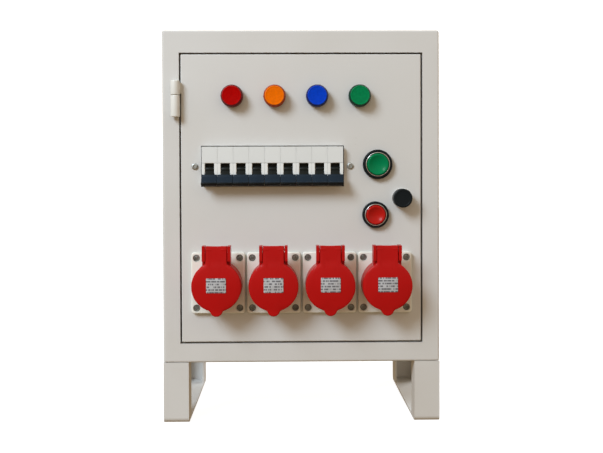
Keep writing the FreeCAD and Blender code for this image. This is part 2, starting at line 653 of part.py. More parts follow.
def make_hinge():
    """Pin hinge on the left of the door: lower knuckle on the frame, upper one on the door."""
    pin = ("hinge_low + hinge_end", "hinge_high - hinge_end")
    barrel = rod("frame_barrel", "z", "hinge_x", "hinge_y", ("hinge_low", "hinge_split"),
                 "hinge_radius")
    weld = box("frame_weld", ("hinge_x - weld_half", "hinge_x + weld_half"), ("hinge_y", "front_y"),
               ("hinge_low + hinge_end", "hinge_split - hinge_end"))
    seat = rod("frame_bore", "z", "hinge_x", "hinge_y", (pin[0], "hinge_split"), "hinge_pin_radius")
    keep(cut("hinge_frame_knuckle", join("frame_knuckle_blank", barrel, weld), seat))

    span = ("hinge_split + working_gap", "hinge_high")
    barrel = rod("door_barrel", "z", "hinge_x", "hinge_y", span, "hinge_radius")
    bridge = box("leaf_bridge", ("hinge_x", "2 * leaf_inset - door_x"),
                 ("front_y - leaf_thickness - working_gap", "front_y - working_gap"), span)
    leaf = box("leaf_on_door", ("leaf_inset - door_x", "leaf_width - door_x"),
               ("front_y - leaf_thickness - working_gap", "front_y"), span)
    bore = rod("door_bore", "z", "hinge_x", "hinge_y", (span[0], pin[1] + " + working_gap"),
               "hinge_pin_radius + running_fit")
    keep(cut("hinge_door_knuckle", join("door_knuckle_blank", barrel, bridge, leaf), bore))
    keep(rod("hinge_pin", "z", "hinge_x", "hinge_y", pin, "hinge_pin_radius"))


def make_mounting_plate():
    blank = box("plate_blank", ("plate_margin - half_width", "half_width - plate_margin"),
                ("plate_face", "plate_y"),
                ("foot_height + plate_margin", "cabinet_top - plate_margin"))
    holes = [rod(f"plate_hole_{index}", "y", x, ("plate_face", "plate_y"), z, "m6_clearance")
             for index, (x, z) in enumerate(STANDOFFS, 1)]
    keep(cut("mounting_plate", blank, *holes))
    spacers = []
    for index, (x, z) in enumerate(STANDOFFS, 1):
        spacer = rod(f"spacer_{index}", "y", x, ("plate_y", "flange_y - sheet_metal"), z,
                     "standoff_radius")
        stud = rod(f"stud_{index}", "y", x, ("plate_face - m6_nut_height - thread_end", "plate_y"), z,
                   "m6_radius")
        spacers.append(join(f"plate_spacer_{index}", spacer, stud))
    keep(group("plate_spacers", spacers))


def make_rail(name, x, back, z):
    """Top-hat rail along X; its channel opens toward the door and its web lies at the back."""
    rail = keep(body(name))
    drawing = sketch(rail, name + "_section", "YZ_Plane", x[0])
    upper = [("0", "rail_web / 2"), ("rail_metal - rail_depth", "rail_web / 2"),
             ("rail_metal - rail_depth", "rail_height / 2"), ("-rail_depth", "rail_height / 2"),
             ("-rail_depth", "rail_web / 2 - rail_metal"), ("-rail_metal", "rail_web / 2 - rail_metal")]
    lower = [(y, f"-({rise})") for y, rise in reversed(upper)]
    polygon(drawing, [(f"{back} + ({y})", f"{z} + ({rise})") for y, rise in upper + lower])
    extrude(rail, "Pad", name + "_bar", drawing, f"({x[1]}) - ({x[0]})")


def make_contactor():
    """Contactor that the buttons work: a low block with a taller middle and six clamp screws."""
    left = "-inner_rail_length / 2 + device_inset"
    right = left + " + contactor_width"
    base = box("contactor_base_block", (left, right), ("device_y - contactor_base", "device_y"),
               ("inner_rail_z - contactor_height / 2", "inner_rail_z + contactor_height / 2"))
    tower = box("contactor_tower", (left + " + tower_inset", right + " - tower_inset"),
                ("device_y - contactor_depth", "device_y - contactor_base"),
                ("inner_rail_z - contactor_height / 3", "inner_rail_z + contactor_height / 3"))
    wells = [rod(f"contactor_well_{column}_{side}", "y",
                 f"{left} + contactor_width * {column} / 4",
                 ("device_y - contactor_base", "device_y - contactor_base + clamp_depth"),
                 f"inner_rail_z + {side} * (contactor_height / 2 - clamp_inset)", "m4_clearance")
             for column in (1, 2, 3) for side in SIDES]
    keep(cut("contactor", join("contactor_blank", base, tower), *wells))


def make_terminal_block():
    right = "inner_rail_length / 2 - device_inset"
    left = right + " - terminal_width"
    front = "device_y - terminal_depth"
    block = box("terminal_blank", (left, right), (front, "device_y"),
                ("inner_rail_z - terminal_height / 2", "inner_rail_z + terminal_height / 2"))
    wells = [rod(f"terminal_well_{way}_{side}", "y",
                 f"{left} + terminal_width * {way + 0.5} / terminal_ways", (front, front + " + clamp_depth"),
                 f"inner_rail_z + {side} * terminal_height / 3", "m4_clearance")
             for way in range(int(number("terminal_ways"))) for side in SIDES]
    keep(cut("terminal_block", block, *wells))


def make_earth_bar():
    bar = box("earth_bar_blank", ("-earth_bar_length / 2", "earth_bar_length / 2"),
              ("plate_face - earth_bar_depth", "plate_face"),
              ("earth_bar_z - earth_bar_height / 2", "earth_bar_z + earth_bar_height / 2"))
    shares = [(index - (EARTH_HOLES - 1) / 2) / EARTH_HOLES for index in range(EARTH_HOLES)]
    holes = [rod(f"earth_hole_{index}", "y", f"earth_bar_length * {share}",
                 ("plate_face - earth_bar_depth", "plate_face"), "earth_bar_z", "m4_radius")
             for index, share in enumerate(shares, 1)]
    keep(cut("earth_bar", bar, *holes))


def make_gland():
    """Supply cable gland under the back of the floor, with its lock nut inside."""
    profile = [("gland_bore", "-gland_drop"), ("gland_thread - gland_taper", "-gland_drop"),
               ("gland_thread + gland_grip", "-gland_drop / 2"),
               ("gland_thread + gland_grip", "-gland_collar_height"),
               ("gland_collar", "-gland_collar_height"), ("gland_collar", "0"), ("gland_thread", "0"),
               ("gland_thread", "gland_rise"), ("gland_bore", "gland_rise")]
    keep(turned("cable_gland", profile, "0", "gland_y", "foot_height", "XZ_Plane"))
    keep(nut("gland_locknut", "z", "0", "gland_y", ("floor_z", "floor_z + gland_nut_height"),
             "gland_collar + gland_nut_lip", "gland_thread"))


# ---- door -----------------------------------------------------------------------------------

SOCKET_X = [f"{index - (SOCKETS - 1) / 2} * socket_pitch" for index in range(SOCKETS)]
BREAKER_X = [f"breaker_row_x + {index - (BREAKERS - 1) / 2} * breaker_pitch"
             for index in range(BREAKERS)]
LAMP_X = [f"lamp_row_x + {index - 1.5} * lamp_pitch" for index in range(len(LAMP_COLOURS))]
BUTTONS = (("start_button", "start_x", "start_z", "start_bezel", "start_cap"),
           ("stop_button", "stop_x", "stop_z", "stop_bezel", "stop_cap"))
DEVICES = [(x, "lamp_z") for x in LAMP_X] + [(x, z) for _, x, z, _, _ in BUTTONS]
RAIL_SCREWS = [(f"breaker_row_x + {side} * bracket_offset", "breaker_z") for side in SIDES]
SOCKET_SCREWS = [(f"{x} + {side} * flange_screw_x / 2", f"flange_z + {rise} * flange_screw_z / 2")
                 for x in SOCKET_X for side in SIDES for rise in SIDES]


def make_door_panel():
    """Folded pan with a hole for every device that the door carries."""
    panel = keep(body("door_panel"))
    front_pad(panel, "door_pan", ("front_y", "front_y + door_depth"),
              (("-door_x", "door_x"), ("door_low", "door_high")))
    front = number("front_y")
    round_edges(panel, "door_bends", "door_edge",
                lambda middle, way: near(abs(way.y), 1) or near(middle.y, front))
    front_pocket(panel, "door_inside", ("skin_y", "front_y + door_depth"),
                 [(("sheet_metal - door_x", "door_x - sheet_metal"),
                   ("door_low + sheet_metal", "door_high - sheet_metal"))])
    skin = ("front_y", "skin_y")
    half_window = "half_row + window_gap"
    half_nose = "breaker_nose / 2 + window_gap"
    front_pocket(panel, "breaker_window", skin,
                 [((f"breaker_row_x - ({half_window})", f"breaker_row_x + {half_window}"),
                   (f"breaker_z - ({half_nose})", f"breaker_z + {half_nose}"))])
    front_pocket(panel, "device_holes", skin,
                 circles=[(x, z, "device_hole") for x, z in DEVICES]
                 + [("lock_x", "lock_z", "lock_barrel")])
    front_pocket(panel, "socket_holes", skin,
                 circles=[(x, "socket_z", "insert_hole") for x in SOCKET_X])
    front_pocket(panel, "screw_holes", skin,
                 circles=[(x, z, "m4_clearance") for x, z in SOCKET_SCREWS + RAIL_SCREWS])


def make_door_gasket():
    gasket = keep(body("door_gasket"))
    ring_pad(gasket, "gasket_strip", ("skin_y", "stop_y - sheet_metal - gasket_gap"),
             "door_x - sheet_metal", ("door_low + sheet_metal", "door_high - sheet_metal"),
             "gasket_width")


def make_panel_screws():
    """Screws that hold the socket flanges and the breaker rail's posts to the door."""
    spots = [(x, "front_y - flange_thickness + counterbore_depth", z) for x, z in SOCKET_SCREWS]
    spots += [(x, "front_y", z) for x, z in RAIL_SCREWS]
    screws = []
    for index, (x, seat, z) in enumerate(spots, 1):
        head = rod(f"panel_screw_head_{index}", "y", x, (seat + " - m4_head_height", seat), z,
                   "m4_head_radius")
        shank = rod(f"panel_screw_shank_{index}", "y", x, (seat, seat + " + m4_length"), z,
                    "m4_radius")
        screws.append(join(f"panel_screw_{index}", head, shank))
    keep(group("panel_screws", screws))


def make_lamps():
    bodies = []
    for colour, x in zip(LAMP_COLOURS, LAMP_X):
        flange = rod(f"lamp_{colour}_flange", "y", x, ("front_y - lamp_flange", "front_y"), "lamp_z",
                     "lens_radius - lamp_flange_inset")
        barrel = rod(f"lamp_{colour}_barrel", "y", x, ("front_y", "front_y + lamp_barrel_rear"),
                     "lamp_z", "device_thread")
        rear = rod(f"lamp_{colour}_rear", "y", x, ("front_y", "front_y + lamp_rear"), "lamp_z",
                   "device_thread - lamp_step")
        bulb = rod(f"lamp_{colour}_bulb", "y", x, ("front_y - lens_rim", "front_y"), "lamp_z", "bulb_radius")
        bodies.append(join(f"lamp_body_{colour}", flange, barrel, rear, bulb))
        inner = "lens_radius - lens_wall"
        ceiling = "-lens_rim - lens_ceiling"
        keep(turned(f"lamp_lens_{colour}",
                    [("0", "-lamp_stand"), ("lens_face", "-lamp_stand"), ("lens_radius", "-lens_rim"),
                     ("lens_radius", "-lamp_flange"), (inner, "-lamp_flange"),
                     (inner, ceiling), ("0", ceiling)], x, "front_y", "lamp_z"))
    keep(group("lamp_bodies", bodies))


def make_panel_nuts():
    keep(group("panel_nuts", [nut(f"panel_nut_{index}", "y", x, ("skin_y", "skin_y + device_nut_height"),
                                  z, "device_nut", "device_thread")
                              for index, (x, z) in enumerate(DEVICES, 1)]))


def make_buttons():
    """Each button: black bezel and barrel in one, bright ring, cap with its stem, contact block."""
    bezels = []
    rings = []
    blocks = []
    for name, x, z, bezel, cap in BUTTONS:
        well = f"{cap} + cap_play"
        ring = f"{well} + ring_width"
        bezels.append(turned(name + "_bezel", [
            (bezel, "0"), (bezel, "bezel_chamfer - bezel_stand"),
            (f"{bezel} - bezel_chamfer", "-bezel_stand"), (ring, "-bezel_stand"),
            (ring, "-ring_seat"), (well, "-ring_seat"), (well, "-well_floor"),
            ("stem_radius + running_fit", "-well_floor"),
            ("stem_radius + running_fit", "barrel_rear"), ("device_thread", "barrel_rear"),
            ("device_thread", "0")], x, "front_y", z))
        rings.append(turned(name + "_ring", [(well, "-ring_seat"), (ring, "-ring_seat"),
                                             (ring, "-ring_stand"), (well, "-ring_stand")],
                            x, "front_y", z))
        stem_end = "barrel_rear - button_travel - working_gap"
        keep(turned(name + "_cap", [
            ("0", "-cap_stand"), (f"{cap} - cap_edge", "-cap_stand"), (cap, "cap_edge_depth - cap_stand"),
            (cap, "cap_thickness - cap_stand"), ("stem_radius", "cap_thickness - cap_stand"),
            ("stem_radius", stem_end), ("0", stem_end)], x, "front_y", z))
        blocks.append(box(name + "_block", (f"{x} - block_width / 2", f"{x} + block_width / 2"),
                          ("front_y + barrel_rear", "front_y + barrel_rear + block_depth"),
                          (f"{z} - block_height / 2", f"{z} + block_height / 2")))
    keep(group("button_bezels", bezels))
    keep(group("button_rings", rings))
    keep(group("button_blocks", blocks))


def make_lock():
    """Lock knob on a spindle, whose cam turns behind the opening's stop lip."""
    keep(turned("lock_body", [
        ("spindle_radius + running_fit", "-collar_stand"), ("lock_collar", "-collar_stand"),
        ("lock_collar", "0"), ("lock_barrel", "0"), ("lock_barrel", "lock_barrel_rear"),
        ("spindle_radius + running_fit", "lock_barrel_rear")], "lock_x", "front_y", "lock_z"))
    keep(nut("lock_nut", "y", "lock_x", ("skin_y", "skin_y + lock_nut_height"), "lock_z",
             "lock_nut_across", "lock_barrel"))
    knob_back = "-collar_stand - working_gap"
    rear = "cam_y + cam_thickness + spindle_end - front_y"
    keep(turned("lock_knob", [
        ("0", "-knob_stand"), ("knob_radius - knob_edge", "-knob_stand"),
        ("knob_radius", "knob_edge - knob_stand"), ("knob_radius", knob_back),
        ("spindle_radius", knob_back), ("spindle_radius", rear), ("0", rear)],
        "lock_x", "front_y", "lock_z"))
    depth = ("cam_y", "cam_y + cam_thickness")
    hub = rod("cam_hub", "y", "lock_x", depth, "lock_z", "cam_width / 2")
    arm = box("cam_arm", ("lock_x - cam_width / 2", "lock_x + cam_width / 2"), depth,
              ("lock_z", "lock_z + cam_reach"))
    bore = rod("cam_bore", "y", "lock_x", depth, "lock_z", "spindle_radius")
    keep(cut("lock_cam", join("cam_blank", hub, arm), bore))


def make_breakers():
    """Nine one-module breakers: housing with a slot, a pin across it and a toggle on the pin."""
    housings = []
    pins = []
    posts = []
    for index, x in enumerate(BREAKER_X, 1):
        sides = (f"{x} - breaker_width / 2", f"{x} + breaker_width / 2")
        nose = box(f"nose_{index}", sides, ("nose_y", "breaker_y"),
                   ("breaker_z - breaker_nose / 2", "breaker_z + breaker_nose / 2"))
        base = box(f"breaker_base_{index}", sides, ("front_y + breaker_shoulder", "breaker_y"),
                   ("breaker_z - breaker_height / 2", "breaker_z + breaker_height / 2"))
        slot = box(f"slot_{index}", (f"{x} - slot_width / 2", f"{x} + slot_width / 2"),
                   ("nose_y", "nose_y + slot_depth"),
                   ("toggle_z - slot_height / 2", "toggle_z + slot_height / 2"))
        wells = [rod(f"breaker_well_{index}_{side}", "y", x,
                     ("front_y + breaker_shoulder", "front_y + breaker_shoulder + well_depth"),
                     f"breaker_z + {side} * (breaker_nose + breaker_height) / 4", "well_radius")
                 for side in SIDES]
        pin_span = (f"{x} - toggle_width / 2", f"{x} + toggle_width / 2")
        hole = rod(f"pin_hole_{index}", "x", pin_span, "toggle_y", "toggle_z", "toggle_pin_radius")
        housings.append(cut(f"housing_{index}", join(f"housing_blank_{index}", nose, base),
                            slot, hole, *wells))
        pins.append(rod(f"toggle_pin_{index}", "x", pin_span, "toggle_y", "toggle_z",
                        "toggle_pin_radius"))
        keep(make_toggle(index, x))
    keep(group("breaker_housings", housings))
    keep(group("toggle_pins", pins))
    half_rail = "bracket_offset + post_width / 2"
    web_back = "breaker_y + rail_depth"
    make_rail("breaker_rail", (f"breaker_row_x - ({half_rail})", f"breaker_row_x + {half_rail}"),
              web_back, "breaker_z")
    for index, (x, z) in enumerate(RAIL_SCREWS, 1):
        post = box(f"post_{index}", (f"{x} - post_width / 2", f"{x} + post_width / 2"),
                   ("skin_y", f"{web_back} - rail_metal"),
                   (f"{z} - post_height / 2", f"{z} + post_height / 2"))
        thread = rod(f"post_thread_{index}", "y", x, ("skin_y", "front_y + m4_length + thread_spare"), z,
                     "m4_radius")
        posts.append(cut(f"rail_post_{index}", post, thread))
    keep(group("rail_posts", posts))


def make_toggle(index, x):
    """Toggle in the off position: half its swing below the line that points to the front."""
    neck_half = "slot_width / 2 - working_gap"
    neck_sides = (f"-({neck_half})", neck_half)
    hub = rod(f"toggle_hub_{index}", "x", neck_sides, "0", "0", "toggle_barrel")
    neck = box(f"toggle_neck_{index}", neck_sides, ("-toggle_inner - toggle_root", "0"),
               ("-toggle_neck", "toggle_neck"))
    paddle = box(f"toggle_paddle_{index}", ("-toggle_width / 2", "toggle_width / 2"),
                 ("-toggle_outer", "-toggle_inner"), ("-toggle_half", "toggle_half"))
    bore = rod(f"toggle_bore_{index}", "x", neck_sides, "0", "0", "toggle_pin_radius + running_fit")
    toggle = cut(f"toggle_{index}", join(f"toggle_blank_{index}", hub, neck, paddle), bore)
    toggle.Placement = Placement(Vector(), Rotation(Vector(1, 0, 0), 1))
    bind(toggle, "Placement.Rotation.Angle", "toggle_swing / 2")
    place(toggle, x, "toggle_y", "toggle_z")
    return toggle


# ---- sockets --------------------------------------------------------------------------------

def make_flange(index, x):
    flange = body(f"flange_{index}")
    face = "front_y - flange_thickness"
    front_pad(flange, f"flange_plate_{index}", (face, "front_y"),
              ((f"{x} - flange_width / 2", f"{x} + flange_width / 2"),
               ("flange_z - flange_height / 2", "flange_z + flange_height / 2")))
    round_edges(flange, f"flange_corners_{index}", "flange_corner",
                lambda middle, way: near(abs(way.y), 1))
    front = number(face)
    round_edges(flange, f"flange_rim_{index}", "flange_edge",
                lambda middle, way: near(middle.y, front))
    screws = [(f"{x} + {side} * flange_screw_x / 2", f"flange_z + {rise} * flange_screw_z / 2")
              for side in SIDES for rise in SIDES]
    front_pocket(flange, f"flange_holes_{index}", (face, "front_y"),
                 circles=[(u, v, "m4_clearance") for u, v in screws]
                 + [(x, "socket_z", "collar_inner")])
    front_pocket(flange, f"flange_counterbores_{index}", (face, face + " + counterbore_depth"),
                 circles=[(u, v, "counterbore_radius") for u, v in screws])
    return flange


def make_collar(index, x):
    """Red collar on the flange, with two ears that hold the lid's pin and a bar between them."""
    depth = ("collar_y", "front_y - flange_thickness")
    tube = rod(f"collar_tube_{index}", "y", x, depth, "socket_z", "collar_outer")
    parts = [tube]
    ear_back = "lid_back + ear_reach"
    for side in SIDES:
        faces = ["ear_inner", "ear_outer"] if side > 0 else ["-ear_outer", "-ear_inner"]
        span = [f"{x} + ({face})" for face in faces]
        parts.append(box(f"ear_root_{index}_{side}", span, ("collar_y", ear_back),
                         ("socket_z + collar_outer - ear_root_drop", "lid_axis_z")))
        parts.append(box(f"ear_{index}_{side}", span,
                         ("lid_back - lid_knuckle - ear_lead", ear_back),
                         ("lid_top + ear_gap", "strap_top")))
    parts.append(box(f"ear_bar_{index}", (f"{x} - ear_outer", f"{x} + ear_outer"),
                     ("lid_back + lid_knuckle + bar_gap", ear_back),
                     ("lid_top - bar_drop", "lid_axis_z - bar_drop")))
    bore = rod(f"collar_bore_{index}", "y", x, depth, "socket_z", "collar_inner")
    pin_hole = rod(f"ear_hole_{index}", "x", (f"{x} - ear_outer", f"{x} + ear_outer"), "lid_back",
                   "lid_axis_z", "lid_pin_radius")
    return cut(f"collar_{index}", join(f"collar_blank_{index}", *parts), bore, pin_hole)


# direction of each contact from the socket's axis, across and up
CONTACTS = ((1, 0), (0, 1), (-1, 0), (0, -1))


def make_insert(index, x):
    """Rear housing of a socket, whose shoulder bears on the back of the door."""
    parts = [rod(f"insert_{name}_{index}", "y", x, span, "socket_z", radius)
             for name, span, radius in (
                 ("body", ("front_y - insert_floor", "skin_y"), "insert_radius"),
                 ("shoulder", ("skin_y", "skin_y + insert_stop_depth"), "insert_stop"),
                 ("rear", ("skin_y", "front_y + insert_rear"), "insert_rear_radius"))]
    return join(f"insert_{index}", *parts)


def make_carrier(index, x):
    """Round post on the insert, with a sleeve let into it for each contact."""
    depth = ("front_y - post_stand", "front_y - insert_floor")
    post = rod(f"post_blank_{index}", "y", x, depth, "socket_z", "post_radius")
    holes = []
    sleeves = []
    for number_of_contact, (across, up) in enumerate(CONTACTS, 1):
        spot = (f"{x} + {across} * contact_circle", depth, f"socket_z + {up} * contact_circle")
        label = f"{index}_{number_of_contact}"
        holes.append(rod(f"contact_hole_{label}", "y", *spot, "contact_radius"))
        sleeves.append(cut(f"contact_{label}",
                           rod(f"contact_blank_{label}", "y", *spot, "contact_radius"),
                           rod(f"contact_bore_{label}", "y", *spot, "contact_bore")))
    return cut(f"carrier_{index}", post, *holes), sleeves


def make_lid(index, x):
    """Hollow round lid with a finger lobe below and a hinge strap above, on two knuckles."""
    face = "lid_back - lid_depth"
    disc = rod(f"lid_disc_{index}", "y", x, (face, "lid_back"), "socket_z", "lid_radius")
    lobe = rod(f"lid_lobe_{index}", "y", x, (face, "lid_back"), "socket_z - lobe_drop",
               "lobe_radius")
    neck = box(f"lid_neck_{index}", (f"{x} - lobe_radius", f"{x} + lobe_radius"),
               (face, "lid_back"), ("socket_z - lobe_drop", "socket_z"))
    strap = box(f"lid_strap_{index}", (f"{x} - strap_half", f"{x} + strap_half"),
                (face, face + " + strap_thickness"), ("lid_top - strap_root", "strap_top"))
    knuckles = []
    for side in SIDES:
        ends = ["spring_half + working_gap", "strap_half"]
        if side < 0:
            ends = [f"-({end})" for end in reversed(ends)]
        knuckles.append(rod(f"lid_knuckle_{index}_{side}", "x", [f"{x} + ({end})" for end in ends],
                            "lid_back", "lid_axis_z", "lid_knuckle"))
    hollow = rod(f"lid_hollow_{index}", "y", x, (face + " + lid_wall", "lid_back"), "socket_z",
                 "lid_radius - lid_wall")
    bore = rod(f"lid_bore_{index}", "x", (f"{x} - strap_half", f"{x} + strap_half"), "lid_back",
               "lid_axis_z", "lid_pin_radius + running_fit")
    blank = join(f"lid_blank_{index}", disc, lobe, neck, strap, *knuckles)
    return cut(f"socket_lid_{index}", blank, hollow, bore)


def make_sockets():
    flanges = []
    collars = []
    inserts = []
    carriers = []
    contacts = []
    pins = []
    springs = []
    for index, x in enumerate(SOCKET_X, 1):
        flanges.append(make_flange(index, x))
        collars.append(make_collar(index, x))
        inserts.append(make_insert(index, x))
        carrier, sleeves = make_carrier(index, x)
        carriers.append(carrier)
        contacts += sleeves
        keep(make_lid(index, x))
        hinge_line = ("lid_back", "lid_axis_z")
        pins.append(rod(f"lid_pin_{index}", "x", (f"{x} - ear_outer", f"{x} + ear_outer"),
                        *hinge_line, "lid_pin_radius"))
        coil = (f"{x} - spring_half", f"{x} + spring_half")
        springs.append(cut(f"lid_spring_{index}",
                           rod(f"spring_outside_{index}", "x", coil, *hinge_line, "spring_radius"),
                           rod(f"spring_inside_{index}", "x", coil, *hinge_line,
                               "lid_pin_radius")))
    for name, solids in (("socket_flanges", flanges), ("socket_collars", collars),
                         ("socket_inserts", inserts), ("socket_carriers", carriers),
                         ("socket_contacts", contacts),
                         ("lid_pins", pins), ("lid_springs", springs)):
        keep(group(name, solids))


# ---- the whole box --------------------------------------------------------------------------

def build():
    make_cabinet_shell()
    make_rear_cover()
    make_foot("left_foot", -1)
    make_foot("right_foot", 1)
    make_foot_bolts()
    make_m6_nuts()
    make_hinge()
    make_mounting_plate()
    make_rail("inner_rail", ("-inner_rail_length / 2", "inner_rail_length / 2"), "plate_face",
              "inner_rail_z")
    make_contactor()
    make_terminal_block()
    make_earth_bar()
    make_gland()
    make_door_panel()
    make_door_gasket()
    make_panel_screws()
    make_lamps()
    make_panel_nuts()
    make_buttons()
    make_lock()
    make_breakers()
    make_sockets()
    doc.recompute()


def check():
    """Stops on a failed feature, an empty or invalid shape, or a node whose name was taken."""
    for piece in doc.Objects:
        if "Invalid" in piece.State or "Error" in piece.State:
            raise RuntimeError(f"{piece.Name} failed: {piece.State}")
    for piece in nodes:
        if piece.Shape.isNull() or not piece.Shape.isValid() or not piece.Shape.Solids:
            raise RuntimeError(f"{piece.Label} has no valid solid")
        if piece.Label != piece.Name:
            raise RuntimeError(f"{piece.Name} is labelled {piece.Label}")


build()
check()
os.makedirs("parts", exist_ok=True)
for node in nodes:
    node.Shape.exportStep(os.path.join("parts", node.Label + ".step"))
print(len(nodes), "nodes,", sum(len(node.Shape.Solids) for node in nodes), "solids")
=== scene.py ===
import json
import math
import bpy
import numpy as np
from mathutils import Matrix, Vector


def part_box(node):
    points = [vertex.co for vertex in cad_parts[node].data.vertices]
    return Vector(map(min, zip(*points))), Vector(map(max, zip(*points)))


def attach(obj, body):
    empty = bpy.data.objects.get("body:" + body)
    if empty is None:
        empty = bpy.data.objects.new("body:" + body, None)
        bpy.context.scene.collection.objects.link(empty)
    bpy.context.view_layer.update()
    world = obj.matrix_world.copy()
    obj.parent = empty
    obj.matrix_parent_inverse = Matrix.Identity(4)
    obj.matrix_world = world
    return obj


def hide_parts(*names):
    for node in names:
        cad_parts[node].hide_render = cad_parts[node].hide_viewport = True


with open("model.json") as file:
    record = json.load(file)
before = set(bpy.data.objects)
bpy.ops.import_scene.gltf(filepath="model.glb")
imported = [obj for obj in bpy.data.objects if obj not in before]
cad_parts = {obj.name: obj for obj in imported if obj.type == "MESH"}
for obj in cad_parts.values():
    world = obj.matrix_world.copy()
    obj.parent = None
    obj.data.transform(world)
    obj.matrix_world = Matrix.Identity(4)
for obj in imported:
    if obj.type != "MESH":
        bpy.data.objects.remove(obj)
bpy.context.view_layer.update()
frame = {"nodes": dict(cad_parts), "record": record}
MM = 0.001

# Rows are the directions of a piece's own across, up and outward.
FACING = np.array([[1, 0, 0], [0, 0, 1], [0, -1, 0]], float)
SIDEWAYS = np.array([[0, 1, 0], [0, 0, 1], [1, 0, 0]], float)
UPRIGHT = np.array([[1, 0, 0], [0, 1, 0], [0, 0, 1]], float)


# ---- outlines and profiles ------------------------------------------------------------------

def soften(corners, radii, closed=True, steps=6):
    """Each corner gives way to the arc of its radius that touches both sides.  The arc's centre
    lies on the corner's bisector at radius / sin(half angle).  Its points are the weighted sum
    (sin((1-s)w) a + sin(s w) b) / sin(w) of the two radii a and b that touch, and w is their
    angle."""
    spots = np.asarray(corners, float)
    inner = spots if closed else spots[1:-1]
    before = np.roll(spots, 1, 0) if closed else spots[:-2]
    after = np.roll(spots, -1, 0) if closed else spots[2:]
    radius = np.broadcast_to(np.asarray(radii, float), len(inner))[:, None]
    back = before - inner
    ahead = after - inner
    back /= np.linalg.norm(back, axis=1, keepdims=True)
    ahead /= np.linalg.norm(ahead, axis=1, keepdims=True)
    half = np.arccos(np.clip((back * ahead).sum(1, keepdims=True), -1, 1)) / 2
    bisector = back + ahead
    bisector /= np.linalg.norm(bisector, axis=1, keepdims=True)
    centre = inner + bisector * radius / np.sin(half)
    first = inner + back * radius / np.tan(half) - centre
    last = inner + ahead * radius / np.tan(half) - centre
    sweep = (math.pi - 2 * half)[:, None]
    share = np.linspace(0, 1, steps)[None, :, None]
    arcs = (np.sin((1 - share) * sweep) * first[:, None] + np.sin(share * sweep) * last[:, None])
    arcs = (arcs / np.sin(sweep) + centre[:, None]).reshape(-1, 2)
    return arcs if closed else np.vstack([spots[:1], arcs, spots[-1:]])


def oblong(width, height, corner, steps=6, middle=(0, 0)):
    """Rectangle with round corners, counter-clockwise from its lower left."""
    u, v = width / 2, height / 2
    return soften([(-u, -v), (u, -v), (u, v), (-u, v)], corner, steps=steps) + np.array(middle)


def arc(centre, radius, start, end, steps):
    """Points centre + radius (cos a, sin a) for angles a from start to end."""
    angle = np.linspace(start, end, steps)
    return np.array(centre) + radius * np.stack([np.cos(angle), np.sin(angle)], 1)


def inset(outline, distance):
    """Outline drawn in: every point moves along the mitre of its two sides, so that each side
    moves inwards by the distance."""
    sides = np.roll(outline, -1, 0) - outline
    sides /= np.linalg.norm(sides, axis=1, keepdims=True)
    outward = np.stack([sides[:, 1], -sides[:, 0]], 1)
    earlier = np.roll(outward, 1, 0)
    mitre = (outward + earlier) / (1 + (outward * earlier).sum(1, keepdims=True))
    return outline - distance * mitre


# ---- rings and shells -----------------------------------------------------------------------

def level(outline, height):
    """One ring: the outline at one height."""
    return np.column_stack([outline, np.broadcast_to(height, len(outline))])


def turned(profile, sides=72):
    """Rings of a round piece: a profile point (r, h) becomes (r cos a, r sin a, h)."""
    angle = np.arange(sides) * 2 * math.pi / sides
    radius, height = np.asarray(profile, float).T
    return np.stack([np.outer(radius, np.cos(angle)), np.outer(radius, np.sin(angle)),
                     np.outer(height, np.ones(sides))], -1)


def slab(outline, low, high, edge, steps=4):
    """Rings of a plate whose two rims are quarter circles: at angle t from the face the outline
    is drawn in by edge (1 - sin t) and stands edge (1 - cos t) from that face."""
    turn = np.linspace(0, math.pi / 2, steps)
    drawn = edge * (1 - np.sin(turn))
    rise = edge * (1 - np.cos(turn))
    lower = [level(inset(outline, d), low + h) for d, h in zip(drawn, rise)]
    upper = [level(inset(outline, d), high - h) for d, h in zip(drawn[::-1], rise[::-1])]
    return np.array(lower + upper)


def skin(rings, wrap=False):
    """Shell over rings (m, n, 3), each counter-clockwise as seen from where the rings head: quads
    join neighbours, and each end closes in a fan at its mean point, or the last ring joins the
    first."""
    count, around = rings.shape[:2]
    grid = np.arange(count * around).reshape(count, around)
    rows = np.vstack([grid, grid[:1]]) if wrap else grid
    here, there = rows[:-1], rows[1:]
    quads = np.stack([here, np.roll(here, -1, 1), np.roll(there, -1, 1), there], -1)
    faces = quads.reshape(-1, 4).tolist()
    points = rings.reshape(-1, 3)
    if not wrap:
        first, last = grid[0], grid[-1]
        pole = np.full(around, len(points))
        faces += np.stack([np.roll(first, -1), first, pole], -1).tolist()
        faces += np.stack([last, np.roll(last, -1), pole + 1], -1).tolist()
        points = np.vstack([points, rings[0].mean(0), rings[-1].mean(0)])
    return points, faces


def set_out(shell, centre, axes=FACING):
    """Shell in millimetres of its own directions, moved to its centre in metres."""
    points, faces = shell
    return points * MM @ axes + np.array(centre, float), faces


def make(name, shells, finish, body, replaced=(), crease=38):
    """One piece from closed shells; edges sharper than the crease angle stay sharp."""
    points, faces = [], []
    start = 0
    for spots, rows in shells:
        points.append(spots)
        faces += [[start + corner for corner in row] for row in rows]
        start += len(spots)
    mesh = bpy.data.meshes.new(name)
    mesh.from_pydata(np.vstack(points).tolist(), [], faces)
    mesh.shade_smooth()
    mesh.set_sharp_from_angle(angle=math.radians(crease))
    mesh.materials.append(finish)
    thing = bpy.data.objects.new(name, mesh)
    bpy.context.scene.collection.objects.link(thing)
    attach(thing, body)
    if replaced:
        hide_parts(*replaced)
    return thing


# ---- finishes -------------------------------------------------------------------------------

